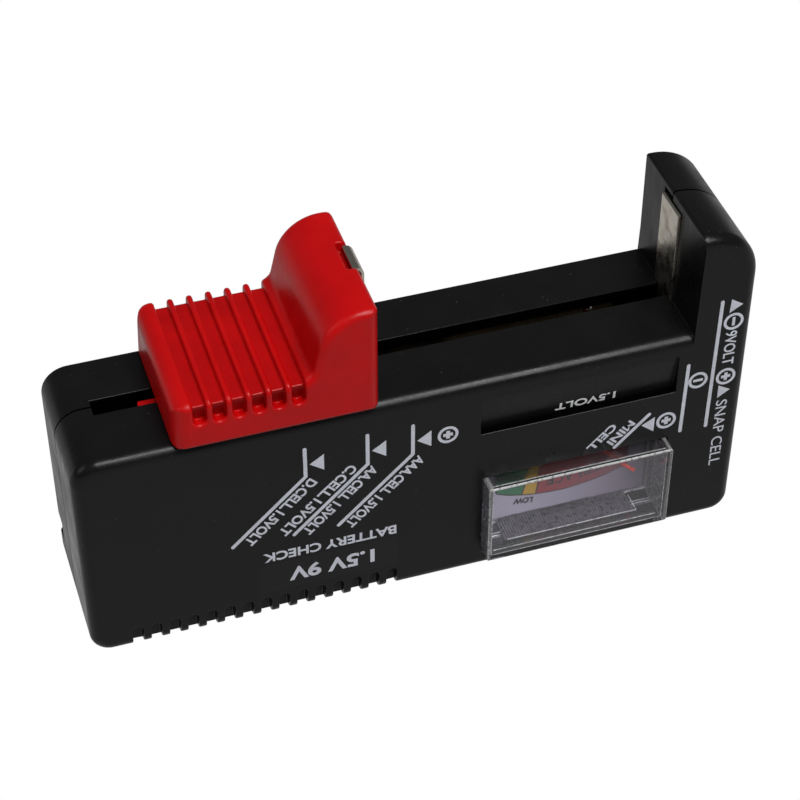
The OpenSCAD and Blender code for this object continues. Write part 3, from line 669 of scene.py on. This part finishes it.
def add_text(work, sheet, text, start, direction, length, cap, bold=0.012, thick=INK_T):
    """Lays text on the sheet: its baseline starts at start, runs along direction (degrees)
    for length, and its capitals are cap tall."""
    mesh = glyph_mesh(text, bold)
    glyphs = bmesh.new()
    glyphs.from_mesh(mesh)
    bpy.data.meshes.remove(mesh)
    bmesh.ops.remove_doubles(glyphs, verts=glyphs.verts[:], dist=1e-5)
    bmesh.ops.dissolve_limit(glyphs, angle_limit=0.01, verts=glyphs.verts[:],
                             edges=glyphs.edges[:])
    xs = [v.co.x for v in glyphs.verts]
    ys = [v.co.y for v in glyphs.verts]
    low_x, wide, low_y, tall = min(xs), max(xs) - min(xs), min(ys), max(ys) - min(ys)
    if "." in text:
        low_y, tall = 0, max(ys)
    body = bmesh.ops.extrude_face_region(glyphs, geom=glyphs.faces[:])
    tops = {g for g in body["geom"] if isinstance(g, bmesh.types.BMVert)}
    c, s = math.cos(math.radians(direction)), math.sin(math.radians(direction))
    for v in glyphs.verts:
        u = (v.co.x - low_x) / wide * length
        w = (v.co.y - low_y) / tall * cap
        lift = thick if v in tops else -thick / 3
        v.co = sheet.at(start[0] + u * c - w * s, start[1] + u * s + w * c, lift)
    bmesh.ops.recalc_face_normals(glyphs, faces=glyphs.faces[:])
    extra = meshed("glyphs", glyphs)
    work.from_mesh(extra)
    bpy.data.meshes.remove(extra)


def printed(name, look, slot, draw):
    """A piece of the housing made of thin shapes that draw() adds to it."""
    work = bmesh.new()
    draw(work)
    bmesh.ops.recalc_face_normals(work, faces=work.faces[:])
    mesh = meshed(name, work)
    for polygon in mesh.polygons:
        polygon.use_smooth = False
    shown(name, mesh, look, "housing", slot)


def upright(y):
    """Sheet seen from the front, at depth y: right is +X and up is +Z."""
    return Sheet((0, y, 0), (1, 0, 0), (0, 0, 1))


FACE = upright(FACE_Y)
DIAL = upright(DIAL_Y)
RECESS_FOOT, RECESS_TOP = (30.1, FACE_Y + 1.45), (37.5, FACE_Y + 0.5)
RECESS = Sheet((0, RECESS_FOOT[1], RECESS_FOOT[0]), (1, 0, 0),
               (0, RECESS_TOP[1] - RECESS_FOOT[1], RECESS_TOP[0] - RECESS_FOOT[0]))

LINE_W = 0.62
HEAD_DOWN = 180
DIAGONAL = 225
TURNED = 270


def draw_cell_marks(work):
    """Lines, arrows and labels that say how far the slider goes for each cell size."""
    for x, top, bend, end in ((-19.0, 35.3, 29.5, (-31.2, 17.6)),
                              (-8.95, 35.4, 29.3, (-21.2, 17.4)),
                              (-1.57, 35.3, 29.3, (-13.9, 17.3))):
        add_line(work, [(x, top), (x, bend), end])
        tip = x + 0.72
        prism(work, FACE, [(tip, 31.93), (tip + 2.3, 30.2), (tip + 2.3, 33.5)])
    for text, start, end in (("D.CELL.1.5VOLT", (-18.3, 29.0), (-29.4, 18.25)),
                             ("C.CELL.1.5VOLT", (-11.7, 30.05), (-23.8, 18.75)),
                             ("AA.CELL 1.5VOLT", (-8.3, 28.85), (-19.9, 17.85)),
                             ("AAA.CELL 1.5VOLT", (-0.6, 28.8), (-12.9, 17.35))):
        run = Vector(end) - Vector(start)
        add_text(work, FACE, text, start, math.degrees(math.atan2(run.y, run.x)), run.length,
                 1.8, bold=0.03)
    add_ring(work, 4.2, 31.8, 1.72, 0.5)
    add_plus(work, 4.2, 31.8, 1.6, 0.62)


def draw_title(work):
    add_text(work, FACE, "BATTERY CHECK", (-4.3, 14.45), HEAD_DOWN, 22.1, 1.95, bold=0.025)
    add_text(work, FACE, "1.5V 9V", (-8.0, 9.95), HEAD_DOWN, 14.3, 2.85, bold=0.03)


def draw_button_cell_marks(work):
    add_line(work, [(38.5, 26.5), (32.85, 20.8)])
    prism(work, FACE, [(37.3, 24.35), (39.5, 22.5), (39.55, 25.6)])
    add_ring(work, 41.6, 24.3, 1.72, 0.5)
    add_plus(work, 41.6, 24.3, 1.6, 0.62)
    add_text(work, FACE, "MINI", (35.15, 26.2), DIAGONAL, 5.4, 1.55, bold=0.03)
    add_text(work, FACE, "CELL", (32.05, 26.3), DIAGONAL, 6.0, 1.55, bold=0.03)
    add_line(work, [(44.55, 35.3), (44.3, 21.2)])
    add_ring(work, 46.5, 31.7, 1.68, 0.5)
    add_minus(work, 46.5, 31.7, 1.7, 0.5)


def draw_snap_marks(work):
    add_line(work, [(49.2, 47.3), (48.83, 21.1)])
    prism(work, FACE, [(50.6, 44.75), (52.8, 46.1), (50.75, 47.45)])
    add_ring(work, 51.52, 42.8, 1.7, 0.48)
    add_minus(work, 51.52, 42.8, 0.5, 1.7)
    add_text(work, FACE, "9VOLT", (50.4, 40.8), TURNED, 7.0, 2.0)
    add_ring(work, 51.36, 31.25, 1.7, 0.48)
    add_plus(work, 51.36, 31.25, 1.6, 0.55)
    prism(work, FACE, [(50.3, 26.8), (52.4, 28.2), (50.3, 29.5)])
    add_text(work, FACE, "SNAP CELL", (50.25, 26.1), TURNED, 14.5, 1.95, bold=0.0)


def draw_recess_label(work):
    add_text(work, RECESS, "1.5VOLT", (32.8, 1.95), HEAD_DOWN, 10.2, 1.5, bold=0.02)


def label_insert():
    """Smooth insert under the title, hardly proud of the face."""
    x0, x1, z0, z1, r = -27.3, -3.9, 5.6, 11.9, 0.5
    corners = (arc(x1 - r, z1 - r, r, 0, 90, 5) + arc(x0 + r, z1 - r, r, 90, 180, 5)
               + arc(x0 + r, z0 + r, r, 180, 270, 5) + arc(x1 - r, z0 + r, r, 270, 360, 5))
    printed("label_insert", "insert", "housing",
            lambda work: prism(work, FACE, corners, thick=INK_T / 2))


# ---------------- dial

SCALE_X, SCALE_Z = 25.8, 37.5
BAND_OUT, BAND_IN = 29.0, 22.6
BAND_ENDS = (-25.5, 27.5)
YELLOW = (-13.2, -8.2)
TAPER_ANGLE, TAPER_DEPTH = 3.5, 3.2


def on_scale(angle, r):
    """Point at an angle from straight down, positive towards +X."""
    a = math.radians(angle)
    return (SCALE_X + r * math.sin(a), SCALE_Z - r * math.cos(a))


def tapered_band(start, end, cut_start, cut_end):
    """Band part whose outer corners are cut back where the band ends."""
    steps = max(6, int((end - start) * 1.5))
    points = []
    for i in range(steps + 1):
        a = start + (end - start) * i / steps
        back = 0.0
        if cut_start and a < start + TAPER_ANGLE:
            back = TAPER_DEPTH * (1 - (a - start) / TAPER_ANGLE) ** 1.5
        if cut_end and a > end - TAPER_ANGLE:
            back = TAPER_DEPTH * (1 - (end - a) / TAPER_ANGLE) ** 1.5
        points.append(on_scale(a, BAND_OUT - back))
    inner = [on_scale(start + (end - start) * i / steps, BAND_IN) for i in range(steps, -1, -1)]
    return points + inner


def arc_text(work, text, r, first, last, cap):
    """Letters set one by one along the scale, heads outwards."""
    for i, letter in enumerate(text):
        a = first + (last - first) * i / (len(text) - 1)
        x, z = on_scale(a, r)
        turn = 180 + a
        half = cap * 0.36
        c, s = math.cos(math.radians(turn)), math.sin(math.radians(turn))
        add_text(work, DIAL, letter, (x - half * c, z - half * s), turn, 2 * half, cap,
                 bold=0.03, thick=2 * INK_T)


def draw_band_edge(work):
    """Black line round the outside of the band, and the two between its colours."""
    rim = 0.22
    outline = tapered_band(BAND_ENDS[0], BAND_ENDS[1], True, True)
    path = outline[:len(outline) // 2]
    shifted = []
    for (ax, az), (x, z), (bx, bz) in zip(path[:1] + path, path, path[1:] + path[-1:]):
        t = Vector((bx - ax, bz - az)).normalized()
        shifted.append((x + t.y * rim, z - t.x * rim))
    prism(work, DIAL, shifted + path[::-1])
    for a in YELLOW:
        prism(work, DIAL, stroke_outline([on_scale(a, BAND_OUT - 0.1), on_scale(a, BAND_IN)], 0.2),
              thick=2 * INK_T)


def draw_dial_words(work):
    add_text(work, DIAL, "LOW", (21.3, 8.15), HEAD_DOWN - 8, 3.5, 1.3, bold=0.06)
    arc_text(work, "REPLACE", 25.7, 17.5, -3.5, 1.8)
    arc_text(work, "GOOD", 25.7, -15.5, -23, 1.4)


def dial_printing():
    for colour, *band in (("green", BAND_ENDS[0], YELLOW[0], True, False),
                          ("yellow", YELLOW[0], YELLOW[1], False, False),
                          ("red", YELLOW[1], BAND_ENDS[1], False, True)):
        printed("dial_" + colour + "_sector", "dial_" + colour, "dial_paper",
                lambda work: prism(work, DIAL, tapered_band(*band)))
    printed("dial_outline", "dial_black", "dial_paper", draw_band_edge)
    printed("dial_words", "dial_black", "dial_paper", draw_dial_words)


def rib_strip(work, y0, y1, foot):
    """One row of ribs, each as long as y0 to y1, standing on foot(x)."""
    x0, x1 = RIBS_X
    count = int((x1 - x0) / RIB_PITCH)
    sheet = upright(y1)
    steps = ((0, RIB_LOW), (0.25, RIB_HEIGHT), (0.5, RIB_HEIGHT), (0.75, RIB_LOW))
    profile = []
    for i in range(count):
        for share, rise in steps:
            x = x0 + (i + share) * RIB_PITCH
            profile.append((x, foot(x) + rise))
    end = x0 + count * RIB_PITCH
    profile += [(end, foot(end) + RIB_LOW), (end, foot(end)), (x0, foot(x0))]
    profile.reverse()
    near = [work.verts.new(sheet.at(x, z, y1 - y0)) for x, z in profile]
    far = [work.verts.new(sheet.at(x, z, 0)) for x, z in profile]
    for i in range(len(profile)):
        j = (i + 1) % len(profile)
        work.faces.new((near[i], near[j], far[j], far[i]))
    work.faces.new(near)
    work.faces.new(far[::-1])


def relief(x):
    """Height of the hood's lower wall where the needle's tip swings over it."""
    reach = RELIEF_R ** 2 - (x - PIVOT_X) ** 2
    return min(RIB_FOOT, PIVOT_Z - math.sqrt(reach)) if reach > 0 else RIB_FOOT


def draw_ribs(work):
    """Fine ribs on the hood's lower wall, dipping under the needle's tip."""
    rib_strip(work, *RIBS_FRONT_Y, lambda x: RIB_FOOT)
    rib_strip(work, *RIBS_BACK_Y, relief)


def draw_hood_lines(work):
    """Thin raised lines before the ribs, at their right end and near the hood's front."""
    x0, x1 = RIBS_X[0] + 0.5, RIBS_X[1] + 0.3
    y0, y1 = 7.7, 11.22
    foot, high, low = RIB_FOOT, RIB_FOOT + 0.12, RIB_FOOT + 0.08
    prism(work, upright(-y1), [(x0, foot), (x1, foot), (x1, high), (x0, high)], thick=0.08)
    prism(work, Sheet((x1, 0, 0), (0, -1, 0), (0, 0, 1)),
          [(y0, foot), (y1, foot), (y1, high), (y0, high)], thick=-0.08)
    x0, x1, y0 = 12.0, 40.6, -12.9
    prism(work, upright(y0), [(x0, foot), (x1, foot), (x1, low), (x0, low)], thick=0.06)


# ---------------- slider

def round_max(a, b, r):
    """Distance field where both a and b hold, its outside corner rounded by r."""
    corner = np.hypot(a + r, b + r) - r
    return np.where((a > -r) & (b > -r), corner, np.maximum(a, b))


def round_min(a, b, r):
    """Distance field of a or b, their inside corner filled with radius r."""
    return -round_max(-a, -b, r)


def block(x, y, z, xs, ys, zs):
    """Distance field of a box, good near its faces."""
    return np.maximum.reduce([xs[0] - x, x - xs[1], ys[0] - y, y - ys[1], zs[0] - z, z - zs[1]])


SLIDER = dict(left=-39.3, right=-7.0, foot=41.25, rest=49.7, half=13.0, edge=1.3, foot_edge=0.7,
              draft=0.045, left_r=2.7, right_r=1.9, arc=(-9.0, 53.2), arc_r=7.6, lean=13.0,
              groove0=-34.9, pitch=3.04, grooves=6, groove_w=2.1, groove_deep=1.1,
              pocket=45.6, pocket_deep=(1.7, 1.0), core_edge=0.3, rest_r=2.4, blend_r=1.5,
              wall_edge=0.9, rib_edge=0.4)
# Boxes of the slider, as pairs of X, Y and Z
BLADE = ((-36.5, -7.3), (-0.55, 2.15), (37.2, 43.1))
TAB = ((-41.9, -35.5), (-0.55, 0.95), (37.4, 40.4))
WINGS = ((-39, -9), (-3.6, 3.9), (37.2, 38.6))
HOLLOW = ((SLIDER["left"] + 2, -18.5), (-10, 10),
          (30, SLIDER["rest"] - SLIDER["groove_deep"] - 2))
CORE = ((SLIDER["left"], 0), (-1.55, 3.15), (30, 60))
NOTCH = ((SLIDER["right"] - 1.9, 0), (-2.2, 4.3), (58.8, 70))
NOTCH_EDGE = 0.15
FINE_STEP, QUICK_STEP, MARGIN_STEPS = 0.23, 0.4, 2.3


def slider_side(x, z):
    """Side view: thumb rest and curved wall, blended where they meet."""
    s = SLIDER
    left = s["left"] + s["draft"] * (z - s["foot"]) - x
    rest = round_max(left, z - s["rest"], s["rest_r"])
    cx, cz = s["arc"]
    lean = math.radians(s["lean"])
    tx, tz = cx - s["arc_r"] * math.cos(lean), cz + s["arc_r"] * math.sin(lean)
    below = -(x - tx) * math.sin(lean) - (z - tz) * math.cos(lean)
    flat = -(x - tx) * math.cos(lean) + (z - tz) * math.sin(lean)
    round_part = np.hypot(x - cx, z - cz) - s["arc_r"]
    wall = np.where(below > 0, flat, round_part)
    side = round_min(rest, wall, s["blend_r"])
    return round_max(side, x - s["right"], s["wall_edge"])


def from_groove(x):
    """Distance from the middle of the nearest groove."""
    s = SLIDER
    nearest = np.clip(np.round((x - s["groove0"]) / s["pitch"]), 0, s["grooves"] - 1)
    return np.abs(x - s["groove0"] - s["pitch"] * nearest)


def slider_grooves(body, x, y, z):
    """Cuts the grooves between the ribs and the pockets where they meet the long sides,
    which get deeper towards their feet."""
    s = SLIDER
    half_w = s["groove_w"] / 2
    across = from_groove(x)
    centre_z = s["pocket"] + half_w
    groove = np.where(z > centre_z, across, np.hypot(across, z - centre_z)) - half_w
    ribs = round_max(body, -groove, s["rib_edge"])
    floor = s["rest"] - s["groove_deep"]
    low, high = s["pocket_deep"]
    deep = low + (high - low) * np.clip((z - s["pocket"]) / (floor - s["pocket"]), 0, 1)
    core = round_max(z - floor, np.abs(y) - s["half"] + deep, s["core_edge"])
    return np.minimum(ribs, np.maximum(body, core))


def slider_field(x, y, z):
    """Distance field of the whole slider: block, grooves, hollow, notch, blade and wings."""
    s = SLIDER
    depth = np.abs(y) - s["half"]
    body = round_max(slider_side(x, z), depth, s["edge"])
    body = round_max(body, s["foot"] - z, s["foot_edge"])
    plan = np.maximum(round_max(s["left"] + s["draft"] * (z - s["foot"]) - x, depth, s["left_r"]),
                      round_max(x - s["right"], depth, s["right_r"]))
    body = slider_grooves(np.maximum(body, plan), x, y, z)
    hollow, core, notch, blade, tab, wings = [block(x, y, z, *box) for box in (
        HOLLOW, CORE, NOTCH, BLADE, TAB, WINGS)]
    body = np.maximum(body, -np.maximum(hollow, -core))
    body = round_max(body, -notch, NOTCH_EDGE)
    return np.minimum.reduce([body, blade, tab, wings])


def surface_nets(field, corner, step):
    """Vertices, quads and outward normals of the zero surface of a sampled field."""
    nx, ny, nz = field.shape
    offsets = np.array([(i, j, k) for i in (0, 1) for j in (0, 1) for k in (0, 1)])

    def corners(a):
        return [a[i:nx - 1 + i, j:ny - 1 + j, k:nz - 1 + k] for i, j, k in offsets]

    inside = field < 0
    around = corners(inside)
    crossed = np.logical_or.reduce(around) & ~np.logical_and.reduce(around)
    cells = np.argwhere(crossed)
    values = np.stack([a[crossed] for a in corners(field)], axis=1)
    total, count = np.zeros((len(cells), 3)), np.zeros(len(cells))
    for a in range(8):
        for b in range(a + 1, 8):
            if np.abs(offsets[a] - offsets[b]).sum() != 1:
                continue
            va, vb = values[:, a], values[:, b]
            cut = (va < 0) != (vb < 0)
            t = np.where(cut, va / np.where(cut, va - vb, 1), 0)[:, None]
            total += np.where(cut[:, None], offsets[a] + t * (offsets[b] - offsets[a]), 0)
            count += cut
    verts = np.array(corner) + (cells + total / count[:, None]) * step
    slope = np.stack([np.mean([a[crossed] for a in corners(g)], axis=0)
                      for g in np.gradient(field)], axis=1)
    normals = slope / np.maximum(np.linalg.norm(slope, axis=1), 1e-9)[:, None]
    index = np.full(crossed.shape, -1)
    index[crossed] = np.arange(len(cells))
    quads = []
    for axis in range(3):
        u, v = (axis + 1) % 3, (axis + 2) % 3
        low = [slice(None)] * 3
        high = [slice(None)] * 3
        low[axis], high[axis] = slice(0, -1), slice(1, None)
        a, b = inside[tuple(low)], inside[tuple(high)]
        for start, end, flip in ((a, b, False), (b, a, True)):
            p = np.argwhere(start & ~end)
            eu, ev = np.eye(3, dtype=int)[u], np.eye(3, dtype=int)[v]
            ring = [p, p - eu, p - eu - ev, p - ev]
            quad = np.stack([index[tuple(r.T)] for r in ring], axis=1)
            quads.append(quad[:, ::-1] if flip else quad)
    return verts, np.concatenate(quads), normals


def net_mesh(name, verts, quads, normals):
    """Mesh of the quads, smooth, with the field's own normals."""
    mesh = bpy.data.meshes.new(name)
    mesh.vertices.add(len(verts))
    mesh.vertices.foreach_set("co", (verts * MM).astype(np.float32).ravel())
    mesh.loops.add(quads.size)
    mesh.loops.foreach_set("vertex_index", quads.astype(np.int32).ravel())
    mesh.polygons.add(len(quads))
    mesh.polygons.foreach_set("loop_start", np.arange(0, quads.size, 4, dtype=np.int32))
    mesh.polygons.foreach_set("use_smooth", np.ones(len(quads), bool))
    mesh.update(calc_edges=True)
    mesh.validate()
    mesh.normals_split_custom_set_from_vertices(normals.tolist())
    return mesh


def slider_shade(verts):
    """Painted shade for each vertex: the grooves' floors a little, the pockets more."""
    s = SLIDER
    x, y, z = verts.T
    between = from_groove(x) < s["groove_w"] / 2 - 0.1
    floor = s["rest"] - s["groove_deep"]
    below = s["half"] - np.abs(y)
    shade = np.where(between & (np.abs(z - floor) < 0.3) & (below > 0.8), 0.17, 0.0)
    pocket = between & (z > s["pocket"] + 0.35) & (z < floor - 0.15) & (below > 0.6) & (below < 2)
    return np.where(pocket, 0.5, shade).astype(np.float32)


def slider_block():
    """The red block as one smooth surface round its distance field."""
    step = FINE_STEP
    low = np.array(SLIDER_LOW) - MARGIN_STEPS * step
    size = np.array(SLIDER_HIGH) + MARGIN_STEPS * step - low
    counts = np.ceil(size / step).astype(int) + 1
    axes = [low[i] + step * np.arange(counts[i]) for i in range(3)]
    x, y, z = np.meshgrid(*axes, indexing="ij")
    field = slider_field(x, y, z)
    verts, quads, normals = surface_nets(field, low, step)
    mesh = net_mesh("slider_block", verts, quads, normals)
    # The painted shade goes into the mark that the red look darkens by.
    mesh.attributes.new("seam_and_shade", "FLOAT", "POINT").data.foreach_set("value", slider_shade(verts))
    shown("slider_block", mesh, "red", "slider", "slider_red", "slider")


# ---------------- solder and sleeve

SOLDER_AT, SLEEVE_AT = mm(34.1, 4.42, 36.9), mm(33.5, 4.42, 36.72)


def solder_blob():
    """Uneven drop of solder on the rail, seen through the deck slot."""
    drop = bmesh.new()
    bmesh.ops.create_icosphere(drop, subdivisions=3, radius=0.36 * MM)
    for v in drop.verts:
        v.co.y *= 0.75
        v.co.z *= 1.15 if v.co.z < 0 else 0.9
        v.co.x *= 1 + 0.12 * math.sin(v.co.z / MM * 7)
        v.co += SOLDER_AT
    mesh = meshed("rail_solder", drop)
    shaded(mesh)
    shown("rail_solder", mesh, "solder", "housing", "nickel")


def wire_end():
    """End of the red sleeve beside the solder."""
    sleeve = bmesh.new()
    bmesh.ops.create_uvsphere(sleeve, u_segments=24, v_segments=12, radius=0.3 * MM)
    for v in sleeve.verts:
        v.co.x *= 2.2
        v.co += SLEEVE_AT
    mesh = meshed("rail_wire_end", sleeve)
    shaded(mesh)
    shown("rail_wire_end", mesh, "wire_red", "housing", "wire_red")


# ---------------- assembly

# CAD nodes that keep their shape, and wires, with their looks
KEPT_NODES = {
    "meter_case": "case", "meter_dial": "paper", "meter_terminals": "brass",
    "yoke_ring": "iron", "core_magnet": "magnet", "core_spacers": "brass",
    "bearing_bridge": "brass", "jewel_bearings": "ruby",
    "hairspring_front": "spring", "hairspring_rear": "spring",
    "coil_frame": "aluminium", "coil_winding": "copper", "pivot_staffs": "steel",
    "needle": "orange", "circuit_board": "board", "load_resistor": "load",
    "series_resistors": "series",
}
WIRES = {
    "wire_rail": "wire_red", "wire_common": "wire_black",
    "wire_nine_volt_positive": "wire_red", "wire_nine_volt_negative": "wire_black",
    "wire_meter_positive": "wire_yellow", "wire_meter_negative": "wire_blue",
}


def build_object():
    # The recess ledge and the slot walls get painted shade.
    rounded("front_shell", "front", "housing", SHELL_EDGE, seam_y=SPLIT_Y, shade_box=RECESS_LEDGE)
    rounded("back_shell", "back", "housing", SHELL_EDGE, seam_y=SPLIT_Y, shade_box=SLOT_WALLS)
    rounded("case_screws", "steel", "steel", SCREW_EDGE)
    rounded("meter_window", "clear", "clear", HOOD_EDGE, edge_look="frosted",
            top_look="smoked", side_look="side")
    rounded("fixed_contact", "nickel", "nickel", PLATE_EDGE)
    rounded("nine_volt_positive", "pad", "nickel", STRIP_EDGE)
    rounded("nine_volt_negative", "pad", "nickel", STRIP_EDGE)
    rounded("contact_rail", "rail", "brass", STRIP_EDGE)
    rounded("slider_contact", "nickel", "nickel", STRIP_EDGE, body="slider")
    slider_block()
    for node, look in KEPT_NODES.items():
        finish_node(node, look)
    for node, look in WIRES.items():
        softened(node, look)
    for name, draw in (("print_cell_marks", draw_cell_marks), ("print_title", draw_title),
                       ("print_button_cell", draw_button_cell_marks),
                       ("print_snap_marks", draw_snap_marks)):
        printed(name, "ink", "housing", draw)
    printed("print_recess", "white_ink", "housing", draw_recess_label)
    label_insert()
    dial_printing()
    printed("window_ribs", "ribbed", "clear", draw_ribs)
    # Drawn in the frosted look, whose pale colour is painted highlight.
    printed("window_lines", "frosted", "clear", draw_hood_lines)
    solder_blob()
    wire_end()


# ---------------- stage

FLOOR_GLOSS = 0.55


def floor():
    """Pale floor: plain white to look at and in gloss, softer in the light that it gives back."""
    mesh = bpy.data.meshes.new("floor")
    half = 3.0
    mesh.from_pydata([(-half, -half, 0), (half, -half, 0), (half, half, 0), (-half, half, 0)],
                     [], [(0, 1, 2, 3)])
    look = Look("floor_paper", (0.35, 0.35, 0.35, 1), 0.9, specular=0.1)
    look.roughness(look.patches(30, 2, 0.85, 0.95))
    rays = look.node("ShaderNodeLightPath")
    glow = look.node("ShaderNodeEmission")
    look.link(look.maths("ADD", rays.outputs["Is Camera Ray"],
                         look.maths("MULTIPLY", rays.outputs["Is Glossy Ray"], FLOOR_GLOSS)),
              glow.inputs["Strength"])
    look.surface(look.maths("MAXIMUM", rays.outputs["Is Camera Ray"],
                            rays.outputs["Is Glossy Ray"]), look.shader, glow)
    mesh.materials.append(look.material)
    placed("floor", mesh)


def softbox(name, at, aim, size, power, in_gloss_only=False):
    """Rectangular lamp, placed and sized in metres."""
    lamp = bpy.data.lights.new(name, "AREA")
    lamp.shape = "RECTANGLE"
    lamp.size, lamp.size_y = size
    lamp.energy = power
    holder = placed(name, lamp)
    holder.location = at
    holder.rotation_euler = (Vector(aim) - Vector(at)).to_track_quat("-Z", "Y").to_euler()
    holder.visible_diffuse = not in_gloss_only


def studio():
    world = bpy.data.worlds.new("studio")
    bpy.context.scene.world = world
    world.use_nodes = True
    background = world.node_tree.nodes["Background"]
    background.inputs["Color"].default_value = (0.93, 0.95, 1.0, 1)
    background.inputs["Strength"].default_value = 0.14
    softbox("key", (0.12, -0.34, 0.74), (0, 0, 0.02), (0.4, 0.22), 4.8)
    softbox("left", (-0.7, -0.05, 0.5), (0, 0, 0.03), (0.4, 0.4), 0.8)
    softbox("edges", (0.3, -0.56, 0.66), (0, 0, 0.03), (0.35, 0.2), 2.6, in_gloss_only=True)
    bpy.context.scene.view_settings.view_transform = "Standard"


def camera():
    lens = bpy.data.cameras.new("camera")
    lens.sensor_width = 36
    lens.lens = 101.62
    lens.clip_start = 0.01
    holder = placed("camera", lens)
    holder.location = mm(-81.2, -254.6, 273.3)
    azimuth, elevation = math.radians(17.72), math.radians(42.33)
    ahead = Vector((math.sin(azimuth) * math.cos(elevation),
                    math.cos(azimuth) * math.cos(elevation), -math.sin(elevation)))
    holder.rotation_euler = ahead.to_track_quat("-Z", "Y").to_euler()
    bpy.context.scene.camera = holder


camera()
build_object()
floor()
studio()
